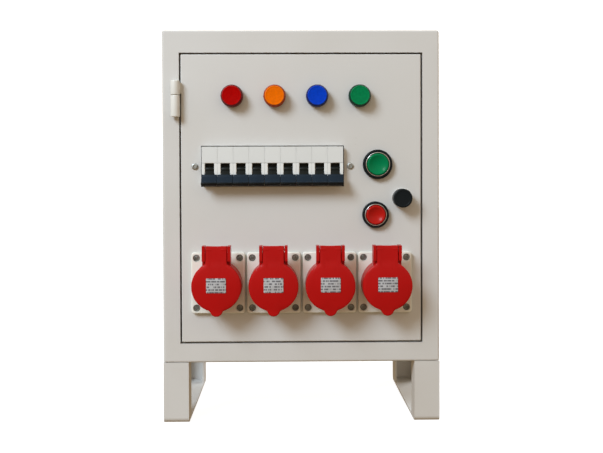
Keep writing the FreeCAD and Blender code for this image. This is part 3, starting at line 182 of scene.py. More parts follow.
class Signal:
    """A shader socket that takes part in sums."""

    def __init__(self, finish, socket):
        self.finish = finish
        self.socket = socket

    def maths(self, operation, *values):
        return self.finish.node("ShaderNodeMath", {"operation": operation},
                                dict(enumerate(values)))

    def __add__(self, other):
        return self.maths("ADD", self, other)

    def __sub__(self, other):
        return self.maths("SUBTRACT", self, other)

    def __rsub__(self, other):
        return self.maths("SUBTRACT", other, self)

    def __mul__(self, other):
        return self.maths("MULTIPLY", self, other)

    def __truediv__(self, other):
        return self.maths("DIVIDE", self, other)

    __radd__ = __add__
    __rmul__ = __mul__

    def size(self):
        return self.maths("ABSOLUTE", self)

    def step(self, low, high):
        """0 below low, 1 above high, smooth between; low may be the larger."""
        return self.finish.node("ShaderNodeMapRange", {"interpolation_type": "SMOOTHSTEP"},
                                {"Value": self, "From Min": low, "From Max": high})


class Finish:
    """A material, made from patterns on the object's own coordinates."""

    def __init__(self, name, colour, roughness, **fixed):
        self.material = bpy.data.materials.new(name)
        self.material.use_nodes = True
        self.tree = self.material.node_tree
        self.shader = self.tree.nodes["Principled BSDF"]
        self.colour = (*colour, 1)
        self.roughness = roughness
        self.height = None
        for socket, value in fixed.items():
            self.shader.inputs[socket.replace("_", " ")].default_value = value
        self.spot = self.node("ShaderNodeTexCoord", {}, {}, "Object")

    def node(self, kind, settings, inputs, output=0):
        """A node of the kind with its settings, then its inputs, then the output asked for."""
        made = self.tree.nodes.new(kind)
        for key, value in settings.items():
            setattr(made, key, value)
        for key, value in inputs.items():
            if isinstance(value, Signal):
                self.tree.links.new(value.socket, made.inputs[key])
            else:
                made.inputs[key].default_value = value
        return Signal(self, made.outputs[output])

    def noise(self, grain, detail=3, stretch=(1, 1, 1), rough=0.5):
        """Noise whose grain is in metres, drawn out along an axis where stretch is small."""
        where = self.spot
        if stretch != (1, 1, 1):
            where = self.node("ShaderNodeVectorMath", {"operation": "MULTIPLY"},
                              {0: self.spot, 1: stretch})
        return self.node("ShaderNodeTexNoise", {},
                         {"Vector": where, "Scale": 1 / grain, "Detail": detail,
                          "Roughness": rough})

    def axis(self, letter):
        return self.node("ShaderNodeSeparateXYZ", {}, {0: self.spot}, letter)

    def tint(self, mask, colour):
        """Goes over to the colour where the mask is 1."""
        mixed = self.node("ShaderNodeMix", {"data_type": "RGBA"},
                          {0: mask, 6: self.colour, 7: (*colour, 1)}, 2)
        self.colour = mixed

    def emboss(self, height, depth):
        """Adds relief: the signal times the depth in metres."""
        relief = height * depth
        self.height = relief if self.height is None else self.height + relief

    def done(self):
        relief = self.height
        wanted = {"Base Color": self.colour, "Roughness": self.roughness}
        if relief is not None:
            wanted["Normal"] = self.node("ShaderNodeBump", {}, {"Height": relief, "Distance": 1.0})
        for key, value in wanted.items():
            if isinstance(value, Signal):
                self.tree.links.new(value.socket, self.shader.inputs[key])
            else:
                self.shader.inputs[key].default_value = value
        return self.material


def powder_coat():
    """Satin powder coat: fine orange peel, faint clouding, darker brown patches that grow towards
    the bottom, and dark specks in spots.
    """
    coat = Finish("powder_coat", (0.625, 0.618, 0.600), 0.4, Specular_IOR_Level=0.3)
    clouds = coat.noise(0.09, 4)
    peel = coat.noise(0.0016, 2)
    low = coat.axis("Z").step(0.16, -0.02)
    # Patches that are darker, browner and rougher, with most of them towards the bottom.
    low_brown_patches = clouds.step(0.42, 0.75) * (low * 0.8 + 0.2)
    specks = coat.noise(0.006, 5, rough=0.65).step(0.67, 0.74) * coat.noise(0.05, 2).step(0.5, 0.7)
    coat.tint(clouds.step(0.35, 0.7) * 0.5, (0.605, 0.595, 0.572))
    coat.tint(low_brown_patches * 0.3, (0.510, 0.470, 0.410))
    coat.tint(specks * 0.25, (0.330, 0.290, 0.230))
    coat.roughness = 0.38 + peel * 0.10 + low_brown_patches * 0.12
    coat.emboss(peel, 0.00003)
    return coat.done()


def moulded(name, colour, shade, roughness, grain=0.0005, depth=0.000008, **fixed):
    """Moulded plastic: fine grain, slow drift of colour, faint rubbed patches in the gloss."""
    plastic = Finish(name, colour, roughness, **fixed)
    drift = plastic.noise(0.03, 3)
    fine = plastic.noise(grain, 2)
    rubbed = plastic.noise(0.012, 4, rough=0.6).step(0.45, 0.8)
    plastic.tint(drift.step(0.3, 0.75) * 0.6, shade)
    plastic.roughness = roughness + rubbed * 0.10 + fine * 0.05
    plastic.emboss(fine, depth)
    return plastic.done()


def tinted_lens(name, colour, deep_tone_and_wall_shade):
    """Tinted lens: clear gloss, painted shade in a deeper colour down the side wall, fine frosting
    inside.
    """
    lens = Finish(name, colour, 0.2, Coat_Weight=0.04, Coat_Roughness=0.08, IOR=1.49,
                  Specular_IOR_Level=0.05)
    painted_wall_shade = lens.axis("Y").step(FRONT_Y - 0.0139, FRONT_Y - 0.0128)
    frost = lens.noise(0.0030, 3)
    lens.tint(frost.step(0.35, 0.7) * 0.22, deep_tone_and_wall_shade)
    # Painted shade: the whole side wall takes the deeper colour and is darker than the lit face.
    lens.tint(painted_wall_shade, deep_tone_and_wall_shade)
    lens.roughness = 0.2 + frost * 0.1
    lens.emboss(frost, 0.00006)
    return lens.done()


def breaker_shell():
    """Light grey module mouldings: painted shade, near black, in the toggle slots, brighter posts
    between them below a fine parting line, and a hair-thin drift of tone from module to module."""
    shell = Finish("breaker_plastic", (0.700, 0.715, 0.705), 0.4, Specular_IOR_Level=0.25)
    up = shell.axis("Z") - TOGGLE_Z
    inward = shell.axis("Y") - NOSE_Y
    fine = shell.noise(0.0005, 2)
    drift = shell.noise(0.03, 3)
    module = shell.node("ShaderNodeMath", {"operation": "FLOOR"},
                        {0: (shell.axis("X") - ROW_LEFT) / 0.018})
    tone = shell.node("ShaderNodeTexWhiteNoise", {"noise_dimensions": "1D"}, {"W": module})
    shell.tint(drift.step(0.3, 0.75) * 0.3 + tone * 0.3, (0.660, 0.675, 0.665))
    posts = up.step(0.0069, 0.0067)
    shell.tint(posts * 0.7, (0.790, 0.800, 0.780))
    line = (up - 0.0071).size().step(0.00035, 0.0002)
    shell.tint(line * 0.45, (0.300, 0.310, 0.300))
    # Painted shade: the walls of each toggle slot, behind the face, are painted near black.
    slot = inward.step(0.0003, 0.0011) * up.size().step(0.0072, 0.0068)
    shell.tint(slot, (0.018, 0.022, 0.020))
    shell.roughness = 0.4 + fine * 0.08
    shell.emboss(fine, 0.000008)
    shell.emboss(line, -0.0002)
    return shell.done()


def paddle_plastic():
    """Dark blue toggles with painted shade: nearly black at their down-facing outer ends and at
    their necks in the slot.
    """
    paddle = Finish("paddle_plastic", (0.010, 0.020, 0.033), 0.36, Specular_IOR_Level=0.16)
    out = paddle.axis("Y") - TOGGLE_Y
    up = paddle.axis("Z") - TOGGLE_Z
    far = out * out + up * up
    fine = paddle.noise(0.0005, 2)
    drift = paddle.noise(0.02, 3)
    paddle.tint(drift.step(0.3, 0.75) * 0.5, (0.008, 0.015, 0.025))
    # Painted shade on the hub and neck, which sit in the slot.
    paddle.tint(far.step(0.0000845, 0.0000800), (0.009, 0.011, 0.010))
    # Painted shade on the outer end, which faces down.
    paddle.tint(far.step(0.000440, 0.000485), (0.002, 0.003, 0.003))
    paddle.roughness = 0.36 + fine * 0.08
    paddle.emboss(fine, 0.000008)
    return paddle.done()


def drawn_metal(name, colour, shade, roughness, stretch, wear=0.12):
    """Plated or drawn metal: streaks along the drawing direction and cloudy wear."""
    metal = Finish(name, colour, roughness, Metallic=1.0)
    streaks = metal.noise(0.0008, 3, stretch)
    cloud = metal.noise(0.014, 4, rough=0.6)
    metal.tint(cloud.step(0.35, 0.75), shade)
    metal.roughness = roughness + streaks * wear + cloud * 0.08
    metal.emboss(streaks, 0.00001)
    return metal.done()


def screw_plate():
    """Dull zinc with cloudy wear, brighter on the two screws beside the breakers."""
    plate = Finish("screw_steel", (0.34, 0.35, 0.33), 0.45, Metallic=1.0)
    cloud = plate.noise(0.014, 4, rough=0.6)
    grit = plate.noise(0.0008, 3)
    plate.tint(cloud.step(0.35, 0.75), (0.20, 0.21, 0.19))
    plate.tint(plate.axis("Z").step(SOCKET_Z + 0.06, SOCKET_Z + 0.07), (0.44, 0.45, 0.43))
    plate.roughness = 0.42 + grit * 0.12 + cloud * 0.08
    plate.emboss(grit, 0.00001)
    return plate.done()


def bright_chrome():
    """Polished plating with faint haze."""
    chrome = Finish("chrome", (0.78, 0.78, 0.76), 0.25, Metallic=1.0)
    haze = chrome.noise(0.004, 4, rough=0.6)
    chrome.tint(haze.step(0.55, 0.8) * 0.5, (0.62, 0.61, 0.58))
    chrome.roughness = 0.22 + haze * 0.16
    chrome.emboss(haze, 0.00001)
    return chrome.done()


def cell_foam():
    """Closed-cell foam strip: small pores and a dull skin."""
    foam = Finish("cell_foam", (0.012, 0.012, 0.012), 0.9)
    pores = foam.node("ShaderNodeTexVoronoi", {}, {"Vector": foam.spot, "Scale": 900.0},
                      "Distance")
    foam.tint(pores.step(0.5, 0.1), (0.004, 0.004, 0.004))
    foam.roughness = 0.8 + pores * 0.15
    foam.emboss(pores, 0.0002)
    return foam.done()


def rating_plate():
    """Silver label with rows of generic grey bars of uneven length, no lettering."""
    plate = Finish("rating_plate", (0.47, 0.475, 0.49), 0.4, Specular_IOR_Level=0.3)
    up = (plate.axis("Z") - PLATE_Z) / 0.0031
    row = plate.node("ShaderNodeMath", {"operation": "FLOOR"}, {0: up})
    inside = plate.node("ShaderNodeMath", {"operation": "FRACT"}, {0: up})
    bars = (inside - 0.5).size().step(0.36, 0.24)
    across = plate.axis("X") / 0.0013
    spot = plate.node("ShaderNodeCombineXYZ", {}, {0: across, 1: row * 3.7, 2: 0.5})
    dashes = plate.node("ShaderNodeTexNoise", {}, {"Vector": spot, "Scale": 1.0, "Detail": 1.0})
    ink = bars * dashes.step(0.41, 0.50)
    plate.tint(ink * 0.8, (0.050, 0.046, 0.060))
    plate.roughness = 0.38 + ink * 0.2
    plate.emboss(ink, 0.00004)
    return plate.done()


# ---- sizes that several pieces share, in millimetres ----------------------------------------

START_BEZEL, START_CAP = 17, 12.3
STOP_BEZEL, STOP_CAP = 15.3, 11.0
KNOB = 10.8
LOCK_COLLAR = 10.9
LID_DISC = 28
LID_KNUCKLE = 4.2
LID_DEPTH = 7
STRAP_HALF = 12.1
STRAP_TOP = 45.5
STRAP_LEAN = 0.05
STRAP_LEAN_FROM = 22


# ---- where things are -----------------------------------------------------------------------

def middle(node):
    low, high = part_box(node)
    return (np.array(low) + np.array(high)) / 2


FRONT_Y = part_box("door_panel")[0].y
LAMPS = {colour: middle(f"lamp_lens_{colour}") for colour in ("red", "amber", "blue", "green")}
LIDS = [middle(f"socket_lid_{index}") for index in range(1, 5)]
lid_low, lid_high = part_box("socket_lid_1")
LID_FACE_Y = lid_low.y
LID_TOP = lid_high.z
SOCKET_Z = LID_TOP - STRAP_TOP * MM
LID_AXIS_Z = LID_TOP - LID_KNUCKLE * MM
LID_BACK_Y = LID_FACE_Y + LID_DEPTH * MM
PLATE_Z = SOCKET_Z + 1.8 * MM
nose_low, nose_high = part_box("breaker_housings")
NOSE_Y = nose_low.y
ROW_LEFT = nose_low.x
pivots_low, pivots_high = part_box("toggle_pins")
TOGGLE_Y = (pivots_low.y + pivots_high.y) / 2
TOGGLE_Z = (pivots_low.z + pivots_high.z) / 2


# ---- pieces ---------------------------------------------------------------------------------

def lamp_lens(colour, finish):
    """Hollow truncated dome: a straight rim, a rounded shoulder and a slightly sunk flat face."""
    rim, shoulder, front = 12.8, 9.0, 14.0
    profile = soften([(rim, 1.5), (rim, shoulder), (10.7, front), (9.7, front), (9.4, 13.7),
                      (0.02, 13.7), (0.02, shoulder), (10.5, shoulder), (10.5, 1.5)],
                     [0.2, 3.0, 0.45, 0.2, 0.2, 0.005, 0.005, 0.4, 0.2], steps=7)
    x, _, z = LAMPS[colour]
    name = f"lens_{colour}"
    make(name, [set_out(skin(turned(profile, 96), wrap=True), (x, FRONT_Y, z))], finish, "door",
         [f"lamp_lens_{colour}"])


def push_cap(name, radius, finish):
    """Dished cap on its stem: the face sinks as a circle's arc from a rounded rim."""
    node = f"{name}_cap"
    x, _, z = middle(node)
    dish = np.linspace(1, 0.002, 14)
    dip = radius - 2.2
    face = np.column_stack([dip * dish, 9.15 - 2.8 * (1 - dish ** 2)])
    rim = soften([(0.02, -11.6), (4, -11.6), (4, 5.5), (radius, 5.5), (radius, 9.5), (dip, 9.15)],
                 [0.4, 0.3, 0.4, 1.0], closed=False, steps=7)
    profile = np.vstack([rim[:-1], face])
    make(node + "_dished", [set_out(skin(turned(profile, 96)), (x, FRONT_Y, z))], finish, name,
         [node])


def round_trim(name, shells, finish, body, replaced, x_z):
    """Turned trim rings: one closed profile round each button's axis."""
    made = [set_out(skin(turned(profile, 96), wrap=True), (x, FRONT_Y, z))
            for profile, (x, z) in zip(shells, x_z)]
    make(name, made, finish, body, replaced)


def button_trim(black, chrome):
    """Bezels on their barrels, and the bright ring that lines each bezel's well."""
    spots = [(middle(f"{name}_cap")[0], middle(f"{name}_cap")[2])
             for name in ("start_button", "stop_button")]
    bezels, rings = [], []
    for bezel, cap in ((START_BEZEL, START_CAP), (STOP_BEZEL, STOP_CAP)):
        well = cap + 0.6
        ring = well + 1.0
        bezels.append(soften([(bezel, 0), (bezel, 5.6), (bezel - 1.5, 7), (ring, 7), (ring, 4),
                              (well, 4), (well, 1.1), (4.05, 1.1), (4.05, -16), (10.9, -16),
                              (10.9, 0)],
                             [0.3, 1.2, 0.5, 0.15, 0.1, 0.1, 0.1, 0.1, 0.3, 0.3, 0.1]))
        rings.append(soften([(ring, 4), (ring, 7.6), (well, 7.6), (well, 4)],
                            [0.1, 0.55, 0.55, 0.1]))
    round_trim("bezels_black", bezels, black, "door", ["button_bezels"], spots)
    round_trim("bright_rings", rings, chrome, "door", ["button_rings"], spots)


def lock(black, chrome):
    """Lock knob with a ribbed grip: its radius falls by a shallow scallop at each rib.  The
    bright collar that it stands on."""
    x, _, z = middle("lock_body")
    sides, ribs, rib_depth = 180, 30, 0.018
    outline = soften([(0.02, -22), (3, -22), (3, 4.6), (KNOB, 4.6), (KNOB, 18), (8.6, 18),
                      (8.2, 17.6), (0.02, 17.6)], [0.3, 0.3, 0.5, 1.3, 0.3, 0.3],
                     closed=False, steps=7)
    rings = turned(outline, sides)
    radius, height = outline.T
    angle = np.arange(sides) * 2 * math.pi / sides
    grip = ((radius > 10.5) & (height > 5.2) & (height < 16.6))[:, None]
    scallop = 1 - rib_depth * grip * (0.5 + 0.5 * np.cos(ribs * angle)) ** 2
    rings[..., :2] *= scallop[..., None]
    make("lock_knob_ribbed", [set_out(skin(rings), (x, FRONT_Y, z))], black, "lock", ["lock_knob"])
    collar = soften([(LOCK_COLLAR, 0), (LOCK_COLLAR, 3.4), (3.05, 4), (3.05, -14), (9.5, -14),
                     (9.5, 0)], [0.2, 1.6, 0.1, 0.1, 0.4, 0.1])
    make("lock_collar", [set_out(skin(turned(collar, 96), wrap=True), (x, FRONT_Y, z))], chrome,
         "door", ["lock_body"])


def breaker_row(finish):
    """Breaker housings: rings of one outline step from the wide base to the nose, round its front
    edge, then across the face to a raised surround and down into the toggle slot."""
    mid = (nose_low.z + nose_high.z) / 2
    width, base_height, nose_height, slot_centre = 17.9, 84, 44.6, (0, -3.6)
    shells = []
    for index in range(1, 10):
        x = middle(f"toggle_{index}")[0]
        base = oblong(width, base_height, 0.4)
        nose = oblong(width, nose_height, 0.3)
        surround = oblong(11.6, 14.8, 0.7, middle=slot_centre)
        slot = oblong(10.4, 13.6, 0.4, middle=slot_centre)
        rings = [level(inset(base, 0.5), -44), level(base, -43.5), level(base, -6.4),
                 level(inset(base, 0.3), -6), level(nose, -6), level(nose, 7.8),
                 level(inset(nose, 0.06), 7.94), level(inset(nose, 0.2), 8),
                 level(inset(nose, 0.35), 8), level(inset(surround, -0.15), 8), level(surround, 8),
                 level(inset(surround, 0.15), 7.9), level(inset(slot, -0.1), 7.6),
                 level(slot, 7.3), level(slot, -0.3)]
        shells.append(set_out(skin(np.array(rings)), (x, FRONT_Y, mid)))
    make("breaker_noses", shells, finish, "door", ["breaker_housings"])


def toggle(index, finish):
    """Toggle in its off position: hub and neck in one outline, and a scooped paddle with a lip."""
    x, y, z = middle(f"toggle_{index}")[0], TOGGLE_Y, TOGGLE_Z
    tilt = math.radians(50)
    out = (0, -math.cos(tilt), -math.sin(tilt))
    over = (0, -math.sin(tilt), math.cos(tilt))
    axes = np.array([out, over, (-1, 0, 0)], float)
    hub_radius, neck, root, tip, half, side = 3.2, 1.2, 9.3, 23.2, 2.2, 8.88
    wide = math.asin(neck / hub_radius)
    hub = np.vstack([arc((0, 0), hub_radius, wide, 2 * math.pi - wide, 25),
                     [(11, -neck), (11, neck)]])
    paddle = soften([(root, -half), (tip, -half), (tip, half), (21.4, half), (19.4, 1.5),
                     (12.0, 1.5), (root, half)], [0.5, 1.0, 0.6, 0.5, 1.0, 1.5, 0.4], steps=5)
    shells = [set_out(skin(slab(hub, -4.8, 4.8, 0.3, 3)), (x, y, z), axes),
              set_out(skin(slab(paddle, -side, side, 0.3)), (x, y, z), axes)]
    make(f"paddle_{index}", shells, finish, f"breaker_toggle_{index}", [f"toggle_{index}"])


def lid_outline():
    """Right half from the lobe's bottom to the strap's top: lobe, hollow fillet, disc, hollow
    fillet, strap side and top corner, each an arc that touches the next; then its mirror image."""
    disc, lobe, drop, half, top = LID_DISC, 7.2, 26.3, STRAP_HALF, STRAP_TOP
    lower, upper = 4.5, 2.6
    reach = disc + lower
    lean = math.acos((reach ** 2 + drop ** 2 - (lobe + lower) ** 2) / (2 * reach * drop))
    hub = np.array([math.sin(lean), -math.cos(lean)]) * reach
    to_lobe = math.atan2(hub[1] + drop, hub[0])
    to_disc = lean - math.pi / 2
    rise = math.sqrt((disc + upper) ** 2 - (half + upper) ** 2)
    meet = math.atan2(rise, half + upper)
    right = np.vstack([
        arc((0, -drop), lobe, -math.pi / 2, to_lobe, 12),
        arc(hub, lower, to_lobe + math.pi, to_disc + math.pi, 9)[1:],
        arc((0, 0), disc, to_disc, meet, 56)[1:],
        arc((half + upper, rise), upper, meet + math.pi, math.pi, 9)[1:],
        arc((half - 1.2, top - 1.2), 1.2, 0, math.pi / 2, 6),
        [(4, top)]])
    left = right[:0:-1] * [-1, 1]
    return np.vstack([right, left]), disc * math.sin(meet), rise


def lid(index, red):
    """Lid: from the hollow's floor out over the rim, up the outside and over the rounded edge to
    the face.  The face stands 5 + 2 (1 - (r / 28)^2) inside the disc's radius and 5 outside it,
    less 0.05 for each millimetre above 22.  The strap is thinner than the disc.  Two knuckles."""
    x = LIDS[index - 1][0]
    outline, low, high = lid_outline()
    back = 1.9 * np.clip((outline[:, 1] - low) / (high - low), 0, 1)
    lean = STRAP_LEAN * np.clip(outline[:, 1] - STRAP_LEAN_FROM, 0, None)
    angle = np.arctan2(outline[:, 1], outline[:, 0])
    round_in = 25.7 * np.stack([np.cos(angle), np.sin(angle)], 1)
    rings = [level(round_in * share, 4.7) for share in (0.02, 0.5, 0.97)]
    rings += [level(round_in, 4.4), level(round_in, 0.3), level(round_in * 1.01, 0)]
    rings += [level(inset(outline, 0.4), back), level(outline, back + 0.4)]
    edge = 1.4
    turn = np.linspace(0, math.pi / 2, 7)
    rings += [level(inset(outline, edge * (1 - math.cos(bend))),
                    3.6 + edge * math.sin(bend) - lean) for bend in turn]
    for share in (0.97, 0.9, 0.82, 0.74, 0.67, 0.61, 0.55, 0.45, 0.35, 0.2, 0.02):
        spots = inset(outline, edge) * share
        dome = 2.0 * np.clip(1 - (spots ** 2).sum(1) / LID_DISC ** 2, 0, 1)
        fall = STRAP_LEAN * np.clip(spots[:, 1] - STRAP_LEAN_FROM, 0, None)
        rings.append(level(spots, 5.0 + dome - fall))
    bore, inner = 1.55, 5.2
    knuckle = soften([(LID_KNUCKLE, inner), (LID_KNUCKLE, STRAP_HALF), (bore, STRAP_HALF),
                      (bore, inner)], [0.5, 0.5, 0.2, 0.2], steps=4)
    shells = [set_out(skin(np.array(rings)), (x, LID_BACK_Y, SOCKET_Z))]
    for shift in (0, -17.3):
        moved = knuckle + [0, shift]
        shells.append(set_out(skin(turned(moved, 40), wrap=True), (x, LID_BACK_Y, LID_AXIS_Z),
                              SIDEWAYS))
    make(f"lid_{index}_moulded", shells, red, f"lid_{index}", [f"socket_lid_{index}"])


def label(index, finish):
    """Thin plate with round corners, let onto the lid's face."""
    x = LIDS[index - 1][0]
    plate = slab(oblong(22, 16.4, 0.8), 6.0, 7.25, 0.15, 3)
    make(f"lid_{index}_label", [set_out(skin(plate), (x, LID_BACK_Y, PLATE_Z))], finish,
         f"lid_{index}")


def pan_head(radius, height, arm_half, arm_reach):
    """Rings of a screw head, from its rim to its crown: height is a dome, less a cross whose arms
    are where the smaller of |u| and |v| is under half an arm's width, as far out as arm_reach."""
    share = np.concatenate([np.array([1.0, 1.0]), np.linspace(0.97, 0.02, 22)])
    angle = np.arange(64) * 2 * math.pi / 64
    far = radius * share[:, None]
    u, v = far * np.cos(angle), far * np.sin(angle)
    dome = height * (0.45 + 0.55 * np.sqrt(1 - share[:, None] ** 2 * 0.98))
    dome[0] = 0
    arm = np.clip((arm_half - np.minimum(np.abs(u), np.abs(v))) / 0.22, 0, 1)
    reach = np.clip((arm_reach - far) / 0.35, 0, 1)
    return np.stack([u, v, dome - 1.3 * arm * reach], -1)


def door_screws(finish):
    """Pan heads with a cross recess, on their shanks: 16 in the flanges, 2 by the breakers."""
    flange_low, flange_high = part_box("socket_flanges")
    flange_z = (flange_low.z + flange_high.z) / 2
    head_radius, head_height, across, up = 3.7, 2.2, 24.75, 28.75
    shank = soften([(0.02, -10.8), (2, -10.8), (2, 0.02), (head_radius, 0.02)], [0.5, 0.05],
                   closed=False, steps=4)
    shells = []
    spots = [(lid_spot[0] + side * across * MM, flange_z + rise * up * MM, 2.8)
             for lid_spot in LIDS for side in (-1, 1) for rise in (-1, 1)]
    post_low, post_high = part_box("rail_posts")
    half = 6 * MM
    rail_z = (nose_low.z + nose_high.z) / 2
    spots += [(post_low.x + half, rail_z, 0), (post_high.x - half, rail_z, 0)]
    for number, (x, z, stand) in enumerate(spots):
        spin = 0.7 * number
        head = pan_head(head_radius, head_height, *((0.62, 2.3) if stand else (1.15, 2.1)))
        cos, sin = math.cos(spin), math.sin(spin)
        rings = np.vstack([turned(shank, 64), head])
        rings = np.stack([rings[..., 0] * cos - rings[..., 1] * sin,
                          rings[..., 0] * sin + rings[..., 1] * cos, rings[..., 2] + stand], -1)
        shells.append(set_out(skin(rings), (x, FRONT_Y, z)))
    make("cross_screws", shells, finish, "door", ["panel_screws"])


def coil_springs(finish):
    """Lid springs: a wire 0.9 thick on the helix (2.45 cos a, 2.45 sin a) that climbs 1.12 a
    turn."""
    turns, along, sides = 7.5, 180, 8
    coil_radius, wire_half, half_length = 2.45, 0.45, 4.2
    angle = np.linspace(0, turns * 2 * math.pi, along)
    centre = np.stack([coil_radius * np.cos(angle), coil_radius * np.sin(angle),
                       np.linspace(-half_length, half_length, along)], 1)
    out = np.stack([np.cos(angle), np.sin(angle), 0 * angle], 1)
    up = np.array([0, 0, 1.0])
    around = np.arange(sides) * 2 * math.pi / sides
    rings = centre[:, None] + wire_half * (np.cos(around)[None, :, None] * up
                                           + np.sin(around)[None, :, None] * out[:, None])
    shells = [set_out(skin(rings), (spot[0], LID_BACK_Y, LID_AXIS_Z), SIDEWAYS) for spot in LIDS]
    make("coil_springs", shells, finish, "door", ["lid_springs"])


def hinge(coat):
    """Hinge knuckles: turned barrels with rounded ends, and the web and leaf as soft slabs."""
    for node, name, body in (("hinge_frame_knuckle", "hinge_barrel_lower", "cabinet"),
                             ("hinge_door_knuckle", "hinge_barrel_upper", "door")):
        low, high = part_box(node)
        pin_low, pin_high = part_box("hinge_pin")
        x, y = (pin_low.x + pin_high.x) / 2, (pin_low.y + pin_high.y) / 2
        tall = (high.z - low.z) / MM
        barrel = soften([(5.3, 0), (5.3, tall), (0.02, tall), (0.02, 0)], [0.9, 0.9, 0.005, 0.005])
        shells = [set_out(skin(turned(barrel, 64), wrap=True), (x, y, low.z), UPRIGHT)]
        if body == "cabinet":
            web = oblong(6, 5.6, 0.8, middle=(0, 2.9))
            shells.append(set_out(skin(slab(web, 2.5, tall - 2.5, 0.8)), (x, y, low.z), UPRIGHT))
        else:
            reach = (high.x - x) / MM - 2
            leaf = soften([(0, 4.3), (reach, 4.9), (reach, 5.7), (6, 5.7), (6, 5.3), (0, 5.3)],
                          [0.3, 0.3, 0.1, 0.1, 0.1, 0.3], steps=4)
            shells.append(set_out(skin(slab(leaf, 2.0, tall - 2.0, 0.2)), (x, y, low.z), UPRIGHT))
        make(name, shells, coat, body, [node])


# ---- everything in place --------------------------------------------------------------------

coat = powder_coat()
chrome = bright_chrome()
zinc = drawn_metal("zinc_plate", (0.50, 0.50, 0.47), (0.36, 0.36, 0.34), 0.34, (1, 1, 0.05))
screw_steel = screw_plate()
brass = drawn_metal("brass", (0.60, 0.40, 0.14), (0.42, 0.26, 0.09), 0.26, (0.05, 1, 1))
black = moulded("black_plastic", (0.006, 0.009, 0.011), (0.009, 0.012, 0.014), 0.34,
                Specular_IOR_Level=0.12)
dark = moulded("dark_plastic", (0.020, 0.020, 0.022), (0.030, 0.030, 0.032), 0.45)
grey = moulded("grey_plastic", (0.27, 0.28, 0.27), (0.22, 0.23, 0.22), 0.45)
cream = moulded("cream_plastic", (0.82, 0.835, 0.765), (0.78, 0.785, 0.70), 0.42,
                Specular_IOR_Level=0.25)
red = moulded("red_plastic", (0.440, 0.005, 0.005), (0.385, 0.004, 0.004), 0.36,
              Specular_IOR_Level=0.08, Coat_Weight=0.16, Coat_Roughness=0.06)
white = breaker_shell()
paddles = paddle_plastic()
green_cap = moulded("green_cap", (0.0005, 0.190, 0.068), (0.0005, 0.160, 0.056), 0.28,
                    Specular_IOR_Level=0.05, Coat_Weight=0.06, Coat_Roughness=0.06)
red_cap = moulded("red_cap", (0.43, 0.009, 0.006), (0.39, 0.008, 0.005), 0.28,
                  Specular_IOR_Level=0.10, Coat_Weight=0.08, Coat_Roughness=0.06)
foam = cell_foam()
# Each lens's second colour is a deeper tone. It is used for the frosting and for the painted shade
# down the side wall.
LENSES = {"red": tinted_lens("red_lens", (0.43, 0.0003, 0.0003), (0.130, 0.0005, 0.001)),
          "amber": tinted_lens("amber_lens", (0.88, 0.168, 0.0002), (0.34, 0.042, 0.0002)),
          "blue": tinted_lens("blue_lens", (0.001, 0.052, 0.59), (0.001, 0.008, 0.12)),
          "green": tinted_lens("green_lens", (0.0005, 0.220, 0.072), (0.0005, 0.036, 0.020))}
BY_SLOT = {"cabinet_paint": coat, "zinc": zinc, "brass": brass, "chrome": chrome,
           "black_plastic": black, "dark_plastic": dark, "grey_plastic": grey,
           "cream_plastic": cream, "red_plastic": red, "breaker_plastic": white,
           "toggle_plastic": paddles, "foam": foam, "green_cap": green_cap, "red_cap": red_cap}
BY_SLOT.update({f"{colour}_lens": lens for colour, lens in LENSES.items()})
for part in frame["record"]["subparts"]:
    mesh = frame["nodes"][part["node"]].data
    mesh.materials.clear()
    mesh.materials.append(BY_SLOT[part["material_slot"]])

for colour, lens in LENSES.items():
    lamp_lens(colour, lens)
push_cap("start_button", START_CAP, green_cap)
push_cap("stop_button", STOP_CAP, red_cap)
button_trim(black, chrome)
lock(black, chrome)
breaker_row(white)
for index in range(1, 10):
    toggle(index, paddles)
plate_finish = rating_plate()
for index in range(1, 5):
    lid(index, red)
    label(index, plate_finish)
door_screws(screw_steel)
coil_springs(zinc)
# The hinge's paint is a brighter copy of the cabinet's powder coat. This is a painted highlight on
# the barrels.
hinge(moulded("hinge_paint_painted_highlight", (0.720, 0.715, 0.675), (0.68, 0.67, 0.62), 0.28,
              Specular_IOR_Level=0.5))


# ---- room, light and camera -----------------------------------------------------------------

def studio():
    """White surround and pale floor, both seen only by the camera."""
    white_room = Finish("white_room", (0.9, 0.9, 0.9), 1.0, Emission_Color=(1, 1, 1, 1),
                        Emission_Strength=1.3).done()
    pale = Finish("pale_floor", (0.25, 0.25, 0.25), 1.0, Emission_Color=(1, 1, 1, 1),
                  Emission_Strength=0.93, Specular_IOR_Level=0.0).done()
    room_radius, floor_radius = 9000, 6000
    angle = np.linspace(-math.pi / 2, math.pi / 2, 24)
    dome = np.column_stack([room_radius * np.cos(angle) + 0.01, room_radius * np.sin(angle)])
    for name, rings, finish in (("surround", turned(dome, 48), white_room),
                                ("floor", turned([(floor_radius, -1), (floor_radius, 0)], 64),
                                 pale)):
        points, faces = set_out(skin(rings), (0, 0, 0), UPRIGHT)
        mesh = bpy.data.meshes.new(name)
        mesh.from_pydata(points.tolist(), [], faces)
        mesh.materials.append(finish)
        thing = bpy.data.objects.new(name, mesh)
        bpy.context.scene.collection.objects.link(thing)
        thing.visible_diffuse = False
        thing.visible_glossy = False
        thing.visible_transmission = False
        thing.visible_shadow = False


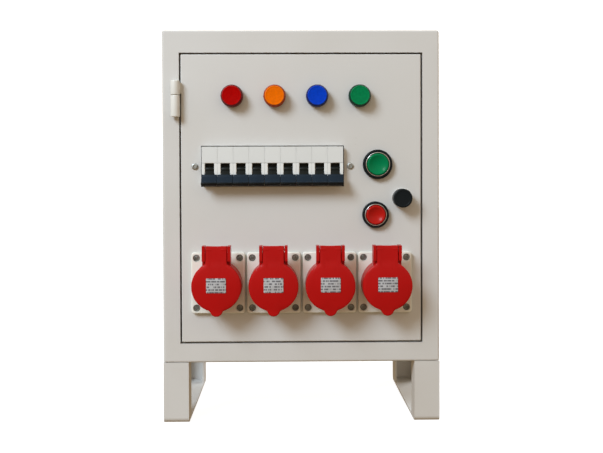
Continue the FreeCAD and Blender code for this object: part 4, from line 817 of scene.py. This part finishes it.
def lamp(name, spot, aim, size, watts, colour):
    """Square soft light at the spot, aimed at a point."""
    light = bpy.data.lights.new(name, "AREA")
    light.size = size
    light.energy = watts
    light.color = colour
    holder = bpy.data.objects.new(name, light)
    holder.location = spot
    way = holder.location.copy()
    way.negate()
    way += type(way)(aim)
    holder.rotation_euler = way.to_track_quat("-Z", "Y").to_euler()
    bpy.context.scene.collection.objects.link(holder)


def sky():
    """Even warm fill from above the horizon, dark below it and dimmer overhead."""
    world = bpy.data.worlds.new("fill")
    world.use_nodes = True
    nodes = world.node_tree.nodes
    links = world.node_tree.links
    split = nodes.new("ShaderNodeSeparateXYZ")
    links.new(nodes.new("ShaderNodeTexCoord").outputs["Generated"], split.inputs[0])
    tone = (0.31, 0.215, 0.115, 1)
    for low, high, colour in ((-0.12, 0.35, (0.86, 0.74, 0.60, 1)),
                              (0.55, 1.0, (0.42, 0.38, 0.32, 1))):
        reach = nodes.new("ShaderNodeMapRange")
        reach.inputs["From Min"].default_value = low
        reach.inputs["From Max"].default_value = high
        blend = nodes.new("ShaderNodeMix")
        blend.data_type = "RGBA"
        blend.inputs[7].default_value = colour
        links.new(split.outputs["Z"], reach.inputs["Value"])
        links.new(reach.outputs[0], blend.inputs[0])
        if isinstance(tone, tuple):
            blend.inputs[6].default_value = tone
        else:
            links.new(tone, blend.inputs[6])
        tone = blend.outputs[2]
    links.new(tone, nodes["Background"].inputs["Color"])
    bpy.context.scene.world = world


def camera():
    lens = bpy.data.cameras.new("camera")
    lens.lens = 49.1
    lens.sensor_width = 36
    lens.shift_y = -0.0637
    lens.clip_end = 50
    holder = bpy.data.objects.new("camera", lens)
    holder.location = (-0.0163, -1.0325, 0.2883)
    holder.rotation_euler = (math.radians(89.0), math.radians(0.2), math.radians(-1.0))
    bpy.context.scene.collection.objects.link(holder)
    bpy.context.scene.camera = holder


studio()
sky()
lamp("key", (-1.5525, -1.9295, 1.87), (0, -0.08, 0.25), 1.08, 77.0, (0.747, 0.874, 1.0))
lamp("back_fill", (1.7, 1.3, 1.3), (0, 0.05, 0.25), 1.4, 42.0, (0.90, 0.95, 1.0))
camera()
bpy.context.scene.view_settings.view_transform = "Standard"
